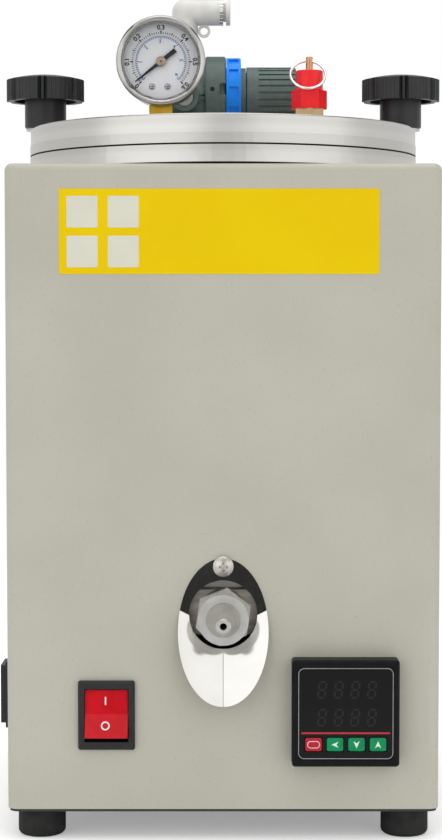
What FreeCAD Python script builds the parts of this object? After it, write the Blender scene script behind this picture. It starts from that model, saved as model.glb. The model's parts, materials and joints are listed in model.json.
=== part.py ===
import FreeCAD, Part
import math
import os
import re
import Sketcher
from FreeCAD import Placement, Rotation, Vector

# Wax injector: a heated pressure pot in a sheet-steel housing, with a clamped lid that
# carries a gauge, an air regulator and a safety valve, and a sprung nozzle at the front.
# Millimetres, +Z up, X to the right, the front faces -Y. The origin is on the surface that
# the feet stand on, in the middle of the whole object's footprint.

# Driving sizes
sizes = {
    # housing and base
    "housing_width": 195.0,
    "housing_depth": 195.0,
    "housing_height": 290.0,
    "sheet_thickness": 1.5,
    "corner_radius": 5.0,
    "top_bend": 3.0,
    "return_flange": 14.0,
    "base_thickness": 1.3,
    "base_inset": 0.8,
    "foot_radius": 10.8,
    "foot_height": 13.0,
    "foot_inset": 14.5,
    "foot_round": 2.5,
    "foot_recess_radius": 4.6,
    "foot_recess_depth": 5.0,
    "vent_length": 26.0,
    "vent_width": 3.2,
    "vent_pitch": 8.0,
    "vent_count": 9,
    # small screws
    "screw_radius": 2.0,
    "screw_head_radius": 3.6,
    "screw_head_height": 2.2,
    "screw_cross_depth": 1.2,
    "screw_cross_width": 0.9,
    "screw_clearance": 0.15,
    # pot
    "pot_room": 17.5,
    "pot_wall": 5.0,
    "pot_bottom": 8.0,
    "flange_overhang": 14.2,
    "flange_thickness": 7.7,
    "boss_width": 48.0,
    "boss_height": 24.0,
    "block_depth": 8.5,
    "outlet_radius": 4.0,
    "outlet_rise": 5.0,
    "seat_ring_gap": 1.5,
    "seat_ring_width": 6.5,
    "seat_ring_thickness": 1.0,
    "gasket_width": 17.4,
    "gasket_inset": 0.3,
    "gasket_thickness": 0.8,
    "heater_clearance": 0.3,
    "heater_thickness": 3.0,
    "heater_height": 50.0,
    "heater_rise": 30.0,
    "heater_gap": 10.0,
    "heater_ear": 9.0,
    "jacket_thickness": 8.5,
    "jacket_clearance": 1.0,
    "jacket_slot": 30.0,
    "probe_radius": 2.5,
    "probe_depth": 6.0,
    "probe_hex": 10.0,
    "probe_x": -22.0,
    "probe_y": 20.0,
    # lid and clamps
    "lid_thickness": 13.0,
    "lid_step": 0.3,
    "lid_band": 4.6,
    "lid_chamfer": 0.8,
    "lid_register_clearance": 1.0,
    "lid_register_depth": 4.0,
    "port_depth": 9.0,
    "thread_clearance": 0.06,
    "clamp_overhang": 7.0,
    "stud_radius": 4.0,
    "stud_clearance": 0.3,
    "stud_grip": 6.0,
    "washer_radius": 9.4,
    "washer_thickness": 1.0,
    "knob_hub_radius": 10.1,
    "knob_hub_height": 13.3,
    "knob_head_radius": 18.6,
    "knob_head_height": 10.4,
    "knob_dome": 2.5,
    "knob_skirt": 3.4,
    "knob_hollow": 6.0,
    "knob_lobes": 7,
    "knob_notch_width": 2.4,
    "knob_notch_depth": 2.6,
    # pressure gauge
    "gauge_x": -29.4,
    "gauge_y": -28.0,
    "gauge_rise": 29.8,
    "gauge_case_radius": 20.0,
    "gauge_case_wall": 1.0,
    "gauge_back": 12.0,
    "gauge_dial_level": 4.6,
    "gauge_case_front": 9.0,
    "gauge_bezel_radius": 21.0,
    "gauge_bezel_gap": 0.3,
    "gauge_bezel_front": 12.0,
    "gauge_window_radius": 17.45,
    "dial_thickness": 0.6,
    "glass_thickness": 1.2,
    "gauge_stem_width": 10.6,
    "gauge_neck_radius": 4.2,
    "gauge_neck_depth": 4.4,
    "gauge_thread_radius": 4.8,
    "pointer_length": 15.4,
    "pointer_tail": 8.7,
    "pointer_tail_width": 2.2,
    "pointer_tip_width": 0.5,
    "pointer_thickness": 0.6,
    "pointer_hub_radius": 2.3,
    "pointer_gap": 0.9,
    "pointer_rest_angle": 52.0,
    "spindle_radius": 0.8,
    # regulator
    "regulator_x": -19.0,
    "regulator_y": 25.0,
    "regulator_rise": 20.0,
    "regulator_radius": 17.0,
    "regulator_back": 20.0,
    "regulator_front": 10.0,
    "regulator_port_radius": 9.8,
    "regulator_port_reach": 18.0,
    "regulator_boss_radius": 6.8,
    "regulator_boss_reach": 20.5,
    "regulator_boss_drop": 2.8,
    "regulator_plug_radius": 4.6,
    "regulator_plug_length": 6.0,
    "regulator_plug_hex": 4.0,
    "bonnet_radius": 19.3,
    "bonnet_length": 10.5,
    "bonnet_neck_radius": 13.6,
    "bonnet_neck_length": 9.9,
    "bonnet_lip_length": 2.4,
    "bonnet_lip_gap": 0.4,
    "bonnet_hole_radius": 1.15,
    "lock_ring_radius": 18.6,
    "lock_ring_length": 7.2,
    "lock_ring_gap": 0.2,
    "lock_ring_notches": 12,
    "lock_ring_notch_width": 5.2,
    "lock_ring_notch_length": 4.6,
    "lock_ring_notch_depth": 1.2,
    "adjuster_radius": 14.0,
    "adjuster_length": 24.8,
    "adjuster_gap": 0.3,
    "adjuster_wall": 2.4,
    "adjuster_plain": 6.0,
    "adjuster_ribs": 26,
    "adjuster_rib_width": 1.1,
    "adjuster_rib_depth": 0.7,
    "adjuster_hub_radius": 6.0,
    "spindle_hex": 6.0,
    "nipple_radius": 6.3,
    "nipple_entry": 6.0,
    "nipple_hex": 15.0,
    # push-in elbow
    "elbow_hex": 12.0,
    "elbow_hex_height": 5.5,
    "elbow_thread_radius": 4.9,
    "elbow_journal_radius": 4.0,
    "elbow_journal_length": 6.0,
    "elbow_radius": 6.5,
    "elbow_rise": 41.3,
    "elbow_reach": 19.0,
    "elbow_gap": 0.3,
    "tube_radius": 3.0,
    "tube_clearance": 0.05,
    "tube_depth": 15.0,
    "collar_sleeve_radius": 4.6,
    "collar_sleeve_length": 8.0,
    "collar_travel_gap": 1.5,
    "collar_flange": 2.2,
    "eyelet_x": 9.5,
    "eyelet_drop": 9.3,
    "eyelet_radius": 3.1,
    "eyelet_hole": 1.9,
    "eyelet_thickness": 3.0,
    # safety valve
    "relief_x": 41.6,
    "relief_y": -15.0,
    "relief_hex": 13.4,
    "relief_base_height": 9.2,
    "relief_thread_radius": 4.8,
    "relief_neck_radius": 5.0,
    "relief_neck_height": 5.0,
    "relief_cap_hex": 14.8,
    "relief_cap_hex_height": 8.9,
    "relief_cap_radius": 6.6,
    "relief_cap_height": 18.4,
    "relief_cap_top": 3.0,
    "relief_stem_radius": 1.7,
    "relief_stem_height": 34.3,
    "relief_flange_radius": 4.4,
    "relief_flange_height": 1.4,
    "ring_hole_radius": 1.2,
    "ring_hole_height": 32.3,
    "ring_radius": 8.35,
    "ring_wire_radius": 0.65,
    "ring_lean": 33.0,
    "ring_roll": 6.0,
    # nozzle and drip plate
    "nozzle_height": 103.0,
    "block_width": 44.0,
    "block_height": 20.0,
    "block_setback": 8.0,
    "hex_across": 22.8,
    "hex_length": 11.0,
    "shank_radius": 10.4,
    "hex_turn": 8.0,
    "hex_reach": 19.0,
    "hex_face_radius": 11.4,
    "hex_chamfer": 3.0,
    "hex_thread_radius": 8.0,
    "hex_thread_length": 6.0,
    "chamber_radius": 9.0,
    "chamber_front": 10.0,
    "chamber_back": 5.0,
    "tip_radius": 7.5,
    "tip_fit": 0.06,
    "tip_collar_radius": 8.6,
    "tip_collar_length": 3.0,
    "tip_straight": 1.5,
    "tip_nose_radius": 3.4,
    "tip_orifice_radius": 1.55,
    "nozzle_reach": 37.0,
    "seal_wire": 0.9,
    "spring_radius": 7.4,
    "spring_wire": 1.1,
    "spring_turns": 4,
    "plate_thickness": 1.0,
    "plate_width": 40.6,
    "plate_top": 25.2,
    "plate_bottom": 40.0,
    "plate_hole_radius": 15.3,
    "plate_fold_height": 1.0,
    "plate_fold_x": 18.0,
    "plate_lean": 17.0,
    "plate_crease": 9.0,
    "plate_screw_drop": 3.6,
    "plate_screw_head": 4.6,
    "front_hole_clearance": 0.9,
    # rocker switch
    "switch_x": -52.5,
    "switch_height": 57.3,
    "switch_width": 25.5,
    "switch_tall": 31.2,
    "switch_bezel": 2.5,
    "switch_body_width": 22.0,
    "switch_body_tall": 28.0,
    "switch_body_depth": 22.0,
    "switch_window_width": 19.8,
    "switch_window_tall": 24.0,
    "switch_well": 15.0,
    "panel_clearance": 0.2,
    "rocker_width": 19.2,
    "rocker_half_tall": 10.8,
    "rocker_end": 4.6,
    "rocker_middle": 2.9,
    "rocker_back_radius": 7.0,
    "rocker_tilt": 12.0,
    "rocker_pivot_depth": 1.0,
    "trunnion_radius": 1.5,
    "trunnion_length": 0.7,
    "trunnion_fit": 0.05,
    # temperature controller
    "controller_x": 54.7,
    "controller_headroom": 8.2,
    "controller_bezel": 48.0,
    "controller_rise": 9.0,
    "controller_body": 44.6,
    "controller_depth": 70.0,
    "controller_face_width": 43.6,
    "controller_face_tall": 42.0,
    "controller_face_recess": 0.4,
    "controller_face_thickness": 1.0,
    "key_width": 7.4,
    "key_tall": 5.9,
    "key_pitch": 9.6,
    "key_drop": 13.9,
    "key_gap": 0.3,
    "key_rise": 0.5,
    "key_depth": 3.2,
    "key_travel": 0.5,
    # power inlet and relay
    "inlet_setback": 32.0,
    "inlet_height": 62.4,
    "inlet_tall": 30.7,
    "inlet_wide": 24.2,
    "inlet_flange": 2.6,
    "inlet_collar": 2.4,
    "inlet_body_tall": 27.0,
    "inlet_body_wide": 19.8,
    "inlet_body_depth": 20.0,
    "socket_tall": 24.5,
    "socket_wide": 16.8,
    "socket_corner": 4.0,
    "socket_depth": 17.0,
    "pin_width": 4.0,
    "pin_thickness": 2.0,
    "pin_spread": 7.0,
    "pin_offset": 2.0,
    "pin_recess": 1.5,
    "relay_length": 58.0,
    "relay_width": 45.0,
    "relay_height": 23.0,
    "relay_y": 45.0,
    "relay_terminal": 9.0,
}

# Sizes worked out from the driving ones, as formulas in the sheet
derived = {
    "pot_y": "=(nozzle_reach - screw_head_height) / 2",
    "front_y": "=pot_y - housing_depth / 2",
    "pot_radius": "=min(housing_width; housing_depth) / 2 - pot_room",
    "flange_radius": "=pot_radius + flange_overhang",
    "lid_radius": "=flange_radius",
    "clamp_reach": "=pot_radius + clamp_overhang",
    "seat_ring_inner": "=pot_radius + seat_ring_gap",
    "seat_ring_outer": "=seat_ring_inner + seat_ring_width",
    "gasket_outer": "=flange_radius - gasket_inset",
    "gasket_inner": "=gasket_outer - gasket_width",
    "shell_bottom": "=foot_height + base_thickness",
    "shell_top": "=shell_bottom + housing_height",
    "shell_depth": "=housing_depth - sheet_thickness",
    "flange_bottom": "=shell_top + seat_ring_thickness",
    "flange_top": "=flange_bottom + flange_thickness",
    "lid_bottom": "=flange_top + gasket_thickness",
    "lid_top": "=lid_bottom + lid_thickness",
    "pot_inner": "=pot_radius - pot_wall",
    "pot_floor": "=nozzle_height - outlet_rise",
    "controller_height": "=pot_floor - pot_bottom - controller_headroom - controller_body / 2",
    "heater_inner": "=pot_radius + heater_clearance",
    "heater_outer": "=heater_inner + heater_thickness",
    "jacket_inner": "=heater_outer + jacket_clearance",
    "boss_reach": "=housing_depth / 2 - block_setback - block_depth",
    "plate_hole": "=plate_hole_radius",
    "knob_bottom": "=lid_top + washer_thickness",
    "gauge_z": "=lid_top + gauge_rise",
    "gauge_bezel_start": "=gauge_stem_width / 2 + gauge_bezel_gap",
    "regulator_z": "=lid_top + regulator_rise",
    "elbow_bottom": "=regulator_z + regulator_port_reach + elbow_hex_height + elbow_gap",
    "elbow_axis": "=regulator_z + elbow_rise - elbow_bottom",
    "adjuster_start": "=regulator_front + bonnet_length + bonnet_neck_length + adjuster_gap",
}

FRONT = ((1, 0, 0), 90)  # local Z towards the viewer in front, local Y up
RIGHT = ((0, 1, 0), 90)  # local Z to the right, local X down
LEFT = ((0, 1, 0), -90)  # local Z to the left, local X up

doc = FreeCAD.newDocument("WaxInjector")
sheet = doc.addObject("Spreadsheet::Sheet", "Sizes")
for line, (alias, content) in enumerate({**sizes, **derived}.items(), 1):
    sheet.set(f"A{line}", alias)
    sheet.set(f"B{line}", str(content))
    sheet.setAlias(f"B{line}", alias)
doc.recompute()

sub_parts = []


# Reading the sheet and binding to it
def bound(text):
    """The same formula with the sheet's name before each alias."""
    return re.sub(r"\b[a-z][a-z_]*\b(?!\()", r"Sizes.\g<0>", text)


def value(text):
    return float(sheet.evalExpression(bound(text)))


def tie(thing, prop, text):
    """Binds a property to a formula of the sheet's aliases."""
    thing.setExpression(prop, bound(text))


def put(thing, x="0", y="0", z="0", turn=None):
    """Places a sub-part, with the position bound to the sheet."""
    if turn:
        axis, degrees = turn
        thing.Placement = Placement(Vector(), Rotation(Vector(*axis), degrees))
    for axis, text in zip("xyz", (x, y, z)):
        if text != "0":
            tie(thing, f"Placement.Base.{axis}", text)


def body(label, x="0", y="0", z="0", turn=None):
    """An empty PartDesign body, placed, whose label names its file."""
    made = doc.addObject("PartDesign::Body", label)
    made.Label = label
    put(made, x, y, z, turn)
    sub_parts.append(made)
    return made


def feature(label, shape, x="0", y="0", z="0", turn=None):
    """A sub-part whose shape Part's own functions made."""
    made = doc.addObject("Part::Feature", label)
    made.Label = label
    made.Shape = shape
    put(made, x, y, z, turn)
    sub_parts.append(made)
    return made


# Sketches
def sketch(owner, plane="XY_Plane", offset="0"):
    """A sketch on one of the body's origin planes, moved along the plane's normal."""
    made = owner.newObject("Sketcher::SketchObject", owner.Name + "_sketch")
    support = [item for item in owner.Origin.OriginFeatures if item.Role == plane][0]
    made.AttachmentSupport = [(support, "")]
    made.MapMode = "FlatFace"
    if offset != "0":
        tie(made, "AttachmentOffset.Base.z", offset)
    return made


def pin_point(made, edge, end, x, y):
    """Fixes one point of an edge at a place that the sheet gives."""
    for kind, text in (("DistanceX", x), ("DistanceY", y)):
        number = made.addConstraint(
            Sketcher.Constraint(kind, -1, 1, edge, end, value(text))
        )
        if re.search("[a-z]", text):
            tie(made, f"Constraints[{number}]", text)


def outline(made, corners, closed=True):
    """A chain of lines and arcs. A corner of four values ends an arc through its last two."""
    places = [Vector(value(c[0]), value(c[1]), 0) for c in corners]
    chain = []
    for number in range(0 if closed else 1, len(corners)):
        corner = corners[number]
        start, stop = places[number - 1], places[number]
        if len(corner) == 4:
            middle = Vector(value(corner[2]), value(corner[3]), 0)
            edge = made.addGeometry(Part.Arc(start, middle, stop))
            passing = made.addGeometry(Part.Point(middle), True)
            pin_point(made, passing, 1, corner[2], corner[3])
            made.addConstraint(Sketcher.Constraint("PointOnObject", passing, 1, edge))
        else:
            edge = made.addGeometry(Part.LineSegment(start, stop))
        ahead = (made.Geometry[edge].StartPoint - start).Length < 1e-6
        chain.append((edge, 1 if ahead else 2))
        pin_point(made, edge, 2 if ahead else 1, corner[0], corner[1])
    if not closed:
        pin_point(made, *chain[0], corners[0][0], corners[0][1])
    for place in range(0 if closed else 1, len(chain)):
        edge, end = chain[place - 1][0], 3 - chain[place - 1][1]
        made.addConstraint(Sketcher.Constraint("Coincident", edge, end, *chain[place]))
    return made


def circle(made, radius, x="0", y="0"):
    centre = Vector(value(x), value(y), 0)
    edge = made.addGeometry(Part.Circle(centre, Vector(0, 0, 1), value(radius)))
    pin_point(made, edge, 3, x, y)
    number = made.addConstraint(Sketcher.Constraint("Radius", edge, value(radius)))
    tie(made, f"Constraints[{number}]", radius)
    return made


def rectangle(made, width, tall, x="0", y="0"):
    left, right = f"{x} - ({width}) / 2", f"{x} + ({width}) / 2"
    low, high = f"{y} - ({tall}) / 2", f"{y} + ({tall}) / 2"
    return outline(made, [(left, low), (right, low), (right, high), (left, high)])


def rounded(made, width, tall, radius, x="0", y="0"):
    """A rectangle with round corners."""
    corners = []
    inset = f"({radius}) * (1 - cos(45))"
    for across, up in ((1, -1), (1, 1), (-1, 1), (-1, -1)):
        edge_x = f"{x} + {across} * ({width}) / 2"
        edge_y = f"{y} + {up} * ({tall}) / 2"
        near_x = f"{edge_x} - {across} * ({radius})"
        near_y = f"{edge_y} - {up} * ({radius})"
        mid_x = f"{edge_x} - {across} * {inset}"
        mid_y = f"{edge_y} - {up} * {inset}"
        if across * up < 0:
            corners += [(near_x, edge_y), (edge_x, near_y, mid_x, mid_y)]
        else:
            corners += [(edge_x, near_y), (near_x, edge_y, mid_x, mid_y)]
    return outline(made, corners)


def dome(radius, base, rise):
    """The corner that ends a turned profile on its axis with a spherical cap."""
    ball = f"(({radius}) * ({radius}) + ({rise}) * ({rise})) / (2 * ({rise}))"
    middle = f"{base} + {rise} - {ball} + sqrt({ball} * {ball} - ({radius}) * ({radius}) / 4)"
    return ("0", f"{base} + {rise}", f"({radius}) / 2", middle)


def hexagon(made, across, turned="0"):
    """A hexagon of the size across its flats, a corner at the turned angle."""
    corners = []
    for step in range(6):
        angle = f"{60 * step} + {turned}"
        corner_radius = f"({across}) / 2 / cos(30)"
        corners.append((f"{corner_radius} * cos({angle})", f"{corner_radius} * sin({angle})"))
    return outline(made, corners)


# Features
def step(owner, kind, profile):
    made = owner.newObject("PartDesign::" + kind, f"{owner.Name}_{kind.lower()}")
    made.Profile = profile
    return made


def pad(owner, profile, length, back=False, both=False):
    made = step(owner, "Pad", profile)
    tie(made, "Length", length)
    made.Reversed = back
    made.Midplane = both
    return made


def spin(owner, corners):
    """A solid of revolution. The corners are (radius, height)."""
    made = step(owner, "Revolution", outline(sketch(owner, "XZ_Plane"), corners))
    made.ReferenceAxis = (made.Profile[0], ["V_Axis"])
    made.Angle = 360
    return made


def check_cut(owner, before):
    doc.recompute()
    after = owner.Shape.Volume
    if not after < before - 1e-6:
        raise RuntimeError(f"a cut in {owner.Name} removes nothing")


def cut(owner, profile, length=None, ahead=False):
    """A pocket: through everything, or to a depth against or along the sketch's normal."""
    doc.recompute()
    before = owner.Shape.Volume
    made = step(owner, "Pocket", profile)
    if length is None:
        made.Type = "ThroughAll"
        made.Midplane = True
    else:
        tie(made, "Length", length)
        made.Reversed = ahead
    check_cut(owner, before)
    return made


def groove(owner, corners):
    """Material turned away. The corners are (radius, height)."""
    doc.recompute()
    before = owner.Shape.Volume
    made = step(owner, "Groove", outline(sketch(owner, "XZ_Plane"), corners))
    made.ReferenceAxis = (made.Profile[0], ["V_Axis"])
    made.Angle = 360
    check_cut(owner, before)
    return made


def dress(owner, kind, prop, size, wanted):
    """A fillet or chamfer on the tip's edges that a test picks."""
    doc.recompute()
    base = owner.Tip
    names = [f"Edge{n}" for n, edge in enumerate(base.Shape.Edges, 1) if wanted(edge)]
    if not names:
        raise RuntimeError(f"no edge to dress in {owner.Name}")
    made = owner.newObject("PartDesign::" + kind, f"{owner.Name}_{kind.lower()}")
    made.Base = (base, names)
    tie(made, prop, size)
    doc.recompute()
    return made


def fillet(owner, radius, wanted):
    return dress(owner, "Fillet", "Radius", radius, wanted)


def chamfer(owner, size, wanted):
    return dress(owner, "Chamfer", "Size", size, wanted)


def at_level(height, lowest_reach=0.0):
    """Picks edges that lie at one height, no nearer to the axis than a reach."""

    def wanted(edge):
        level = all(abs(v.Point.z - height) < 1e-4 for v in edge.Vertexes)
        flat = edge.BoundBox.ZLength < 1e-3
        far = max(math.hypot(v.Point.x, v.Point.y) for v in edge.Vertexes)
        return level and flat and far > lowest_reach

    return wanted


def around(owner, pattern_of, count):
    """Copies of features round the body's Z axis."""
    made = owner.newObject("PartDesign::PolarPattern", owner.Name + "_around")
    made.Originals = pattern_of
    made.Axis = (pattern_of[0].Profile[0], ["N_Axis"])
    made.Angle = 360
    tie(made, "Occurrences", count)
    owner.Tip = made
    doc.recompute()
    return made


def along(owner, pattern_of, direction, length, count):
    """Copies of features in a row along the sketch's H_Axis or V_Axis."""
    made = owner.newObject("PartDesign::LinearPattern", owner.Name + "_row")
    made.Originals = pattern_of
    made.Direction = (pattern_of[0].Profile[0], [direction])
    tie(made, "Length", length)
    tie(made, "Occurrences", count)
    owner.Tip = made
    doc.recompute()
    return made


# Housing, base and feet
def housing_shell():
    """One bent and welded sheet: front, sides and top, with return flanges."""
    shell = body("housing_shell", "0", "pot_y - sheet_thickness / 2", "shell_bottom")
    pad(shell, rounded(sketch(shell), "housing_width", "shell_depth", "corner_radius"), "housing_height")
    fillet(shell, "top_bend", at_level(value("housing_height")))
    inside = rounded(
        sketch(shell, offset="sheet_thickness"),
        "housing_width - 2 * sheet_thickness",
        "shell_depth - 2 * sheet_thickness",
        "corner_radius - sheet_thickness",
    )
    cut(shell, inside, "housing_height - 2 * sheet_thickness", ahead=True)
    window = "2 * (return_flange + sheet_thickness)"
    cut(
        shell,
        rectangle(sketch(shell), f"housing_width - {window}", f"shell_depth - {window}"),
        "2 * sheet_thickness",
        ahead=True,
    )
    cut(
        shell,
        rectangle(
            sketch(shell, "XZ_Plane", "-(shell_depth / 2)"),
            f"housing_width - {window}",
            f"housing_height - {window}",
            "0",
            "housing_height / 2",
        ),
        "2 * sheet_thickness",
        ahead=True,
    )
    top = sketch(shell, offset="housing_height")
    circle(top, "seat_ring_inner + screw_clearance", "0", "sheet_thickness / 2")
    cut(shell, top, "2 * sheet_thickness")
    front = sketch(shell, "XZ_Plane", "shell_depth / 2")
    circle(front, "plate_hole + front_hole_clearance", "0", "nozzle_height - shell_bottom")
    plate_screw_z = "nozzle_height + plate_top - plate_screw_drop - shell_bottom"
    circle(front, "screw_radius + screw_clearance", "0", plate_screw_z)
    rectangle(
        front,
        "switch_body_width + 2 * panel_clearance",
        "switch_body_tall + 2 * panel_clearance",
        "switch_x",
        "switch_height - shell_bottom",
    )
    rectangle(
        front,
        "controller_body + 2 * panel_clearance",
        "controller_body + 2 * panel_clearance",
        "controller_x",
        "controller_height - shell_bottom",
    )
    cut(shell, front, "2 * sheet_thickness")
    side = sketch(shell, "YZ_Plane", "-(housing_width / 2)")
    rectangle(
        side,
        "inlet_body_wide + 2 * panel_clearance",
        "inlet_body_tall + 2 * panel_clearance",
        "inlet_setback - shell_depth / 2",
        "inlet_height - shell_bottom",
    )
    cut(shell, side, "2 * sheet_thickness", ahead=True)
    rear = sketch(shell, "XZ_Plane", "-(shell_depth / 2)")
    rear_screw_circles(rear, "screw_radius + screw_clearance")
    cut(shell, rear, "2 * sheet_thickness", ahead=True)
    bottom = sketch(shell)
    for across, along_y in corner_signs:
        circle(
            bottom,
            "screw_radius + screw_clearance",
            f"{across} * (housing_width / 2 - foot_inset)",
            f"{along_y} * (housing_depth / 2 - foot_inset) + sheet_thickness / 2",
        )
    cut(shell, bottom, "2 * sheet_thickness", ahead=True)


corner_signs = [(-1, -1), (1, -1), (-1, 1), (1, 1)]
rear_screw_columns = (-1, 1)
rear_screw_rows = (0.06, 0.5, 0.94)


def rear_screw_circles(made, radius):
    """The rear panel's screw holes, in the middle of the return flanges."""
    for across in rear_screw_columns:
        for share in rear_screw_rows:
            circle(
                made,
                radius,
                f"{across} * (housing_width / 2 - return_flange / 2 - sheet_thickness)",
                f"{share} * housing_height",
            )


def rear_panel():
    """A flat panel with two rows of vent slots, screwed on the return flanges."""
    panel = body("rear_panel", "0", "pot_y + housing_depth / 2", "shell_bottom", FRONT)
    face = rounded(
        sketch(panel), "housing_width - 2 * base_inset", "housing_height - 2 * base_inset",
        "corner_radius", "0", "housing_height / 2",
    )
    pad(panel, face, "sheet_thickness")
    holes = sketch(panel)
    rear_screw_circles(holes, "screw_radius + screw_clearance")
    cut(panel, holes)
    slots = sketch(panel)
    for side in (-1, 1):
        rounded(
            slots, "vent_length", "vent_width", "vent_width / 2 - screw_clearance",
            f"{side} * vent_length", "housing_height / 4",
        )
    first = cut(panel, slots)
    along(panel, [first], "V_Axis", "vent_pitch * (vent_count - 1)", "vent_count")


def cross_screw(owner, level, shank):
    """A pan-head cross screw along the body's Z axis: head above the level, shank below."""
    spin(
        owner,
        [
            ("0", f"{level} - ({shank})"),
            ("screw_radius", f"{level} - ({shank})"),
            ("screw_radius", level),
            ("screw_head_radius", level),
            ("screw_head_radius", f"{level} + screw_head_height / 2"),
            dome("screw_head_radius", f"{level} + screw_head_height / 2", "screw_head_height / 2"),
        ],
    )
    cross = sketch(owner, offset=f"{level} + screw_head_height")
    cross_outline(cross, "screw_head_radius * 0.55", "screw_cross_width / 2")
    cut(owner, cross, "screw_cross_depth")


def cross_outline(made, arm, half_width):
    """The plus-shaped recess of a cross-head screw."""
    quarter = [(arm, half_width), (half_width, half_width), (half_width, arm)]
    corners = []
    for quadrant in range(4):
        for x, y in quarter:
            turned = {0: (x, y), 1: (f"-({y})", x), 2: (f"-({x})", f"-({y})"), 3: (y, f"-({x})")}
            corners.append(turned[quadrant])
    return outline(made, corners)


def rear_panel_screws():
    """Six alike, copied from one body."""
    one = body("rear_panel_screws")
    sub_parts.remove(one)
    one.Label = "rear_panel_screw"
    cross_screw(one, "0", "2 * sheet_thickness + 3")
    doc.recompute()
    reach_x = value("housing_width / 2 - return_flange / 2 - sheet_thickness")
    places = []
    for across in rear_screw_columns:
        for share in rear_screw_rows:
            places.append(Vector(across * reach_x, 0, value(f"{share} * housing_height")))
    facing_back = Rotation(Vector(1, 0, 0), -90)
    copies = [one.Shape.transformed(Placement(p, facing_back).toMatrix()) for p in places]
    feature("rear_panel_screws", Part.makeCompound(copies), "0", "pot_y + housing_depth / 2", "shell_bottom")


def base_plate():
    plate = body("base_plate", "0", "pot_y", "foot_height")
    pad(
        plate,
        rounded(
            sketch(plate), "housing_width - 2 * base_inset", "housing_depth - 2 * base_inset",
            "corner_radius - base_inset",
        ),
        "base_thickness",
    )
    holes = sketch(plate)
    for across, along_y in corner_signs:
        circle(
            holes,
            "screw_radius + screw_clearance",
            f"{across} * (housing_width / 2 - foot_inset)",
            f"{along_y} * (housing_depth / 2 - foot_inset)",
        )
    cut(plate, holes)
    slots = sketch(plate)
    rounded(
        slots, "vent_length * 2", "vent_width", "vent_width / 2 - screw_clearance",
        "0", "-(vent_pitch * (vent_count - 1) / 2)",
    )
    first = cut(plate, slots)
    along(plate, [first], "V_Axis", "vent_pitch * (vent_count - 1)", "vent_count")


def foot(label, across, along_y):
    """A turned rubber foot with a recess for its screw."""
    made = body(
        label,
        f"{across} * (housing_width / 2 - foot_inset)",
        f"pot_y + {along_y} * (housing_depth / 2 - foot_inset)",
    )
    spin(
        made,
        [
            ("foot_recess_radius", "0"),
            ("foot_radius - foot_round", "0"),
            (
                "foot_radius", "foot_round",
                "foot_radius - foot_round * (1 - cos(45))", "foot_round * (1 - cos(45))",
            ),
            ("foot_radius", "foot_height"),
            ("screw_radius + screw_clearance", "foot_height"),
            ("screw_radius + screw_clearance", "foot_recess_depth"),
            ("foot_recess_radius", "foot_recess_depth"),
        ],
    )


def foot_screws():
    """One screw up through each foot, the base plate and the housing's bottom flange."""
    one = body("foot_screw")
    sub_parts.remove(one)
    cross_screw(one, "0", "foot_height - foot_recess_depth + base_thickness + 2 * sheet_thickness")
    doc.recompute()
    head_down = Rotation(Vector(1, 0, 0), 180)
    x = value("housing_width / 2 - foot_inset")
    y = value("housing_depth / 2 - foot_inset")
    copies = []
    for across, along_y in corner_signs:
        spot = Placement(Vector(across * x, along_y * y, 0), head_down)
        copies.append(one.Shape.transformed(spot.toMatrix()))
    feature("foot_screws", Part.makeCompound(copies), "0", "pot_y", "foot_recess_depth")


# Pot, seals and heater
def wax_pot():
    """A cast pot hung by its flange, with a boss and an outlet at the bottom in front."""
    pot = body("wax_pot", "0", "pot_y", "pot_floor")
    top = "flange_top - pot_floor"
    spin(
        pot,
        [
            ("0", "-(pot_bottom)"),
            ("pot_radius", "-(pot_bottom)"),
            ("pot_radius", f"{top} - flange_thickness"),
            ("flange_radius", f"{top} - flange_thickness"),
            ("flange_radius", top),
            ("0", top),
        ],
    )
    boss = rectangle(sketch(pot, "XZ_Plane"), "boss_width", "boss_height", "0", "outlet_rise")
    pad(pot, boss, "boss_reach")
    groove(pot, [("0", "0"), ("pot_inner", "0"), ("pot_inner", f"{top} + 1"), ("0", f"{top} + 1")])
    outlet = circle(sketch(pot, "XZ_Plane", "boss_reach"), "outlet_radius", "0", "outlet_rise")
    cut(pot, outlet, "2 * pot_wall + boss_reach - pot_radius")
    tapped = sketch(pot, offset=top)
    for side in (-1, 1):
        circle(tapped, "stud_radius + thread_clearance", f"{side} * clamp_reach")
    cut(pot, tapped, "2 * flange_thickness")
    well = sketch(pot, offset="-(pot_bottom)")
    circle(well, "probe_radius + thread_clearance", "probe_x", "probe_y")
    cut(pot, well, "probe_depth + screw_clearance", ahead=True)


def ring(label, inner, outer, height, z):
    """A flat or tall ring round the pot's axis."""
    made = body(label, "0", "pot_y", z)
    pad(made, circle(circle(sketch(made), outer), inner), height)
    return made


def seals():
    """The fibre ring that the flange hangs on, and the lid's silicone gasket."""
    ring("seat_ring", "seat_ring_inner", "seat_ring_outer", "seat_ring_thickness", "shell_top")
    gasket = ring("lid_gasket", "gasket_inner", "gasket_outer", "gasket_thickness", "flange_top")
    holes = sketch(gasket)
    for side in (-1, 1):
        circle(holes, "stud_radius + stud_clearance", f"{side} * clamp_reach")
    cut(gasket, holes)


def band_heater():
    """A split band round the pot, drawn together by two ears at the rear."""
    heater = ring("band_heater", "heater_inner", "heater_outer", "heater_height", "pot_floor + heater_rise")
    slit = rectangle(sketch(heater), "heater_gap", "heater_thickness * 3", "0", "heater_outer")
    cut(heater, slit, "heater_height", ahead=True)
    ears = sketch(heater)
    for side in (-1, 1):
        rectangle(
            ears, "heater_thickness", "heater_ear", f"{side} * (heater_gap / 2 + heater_thickness / 2)",
            "heater_outer - heater_thickness / 2 + heater_ear / 2",
        )
    pad(heater, ears, "heater_height")


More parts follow.
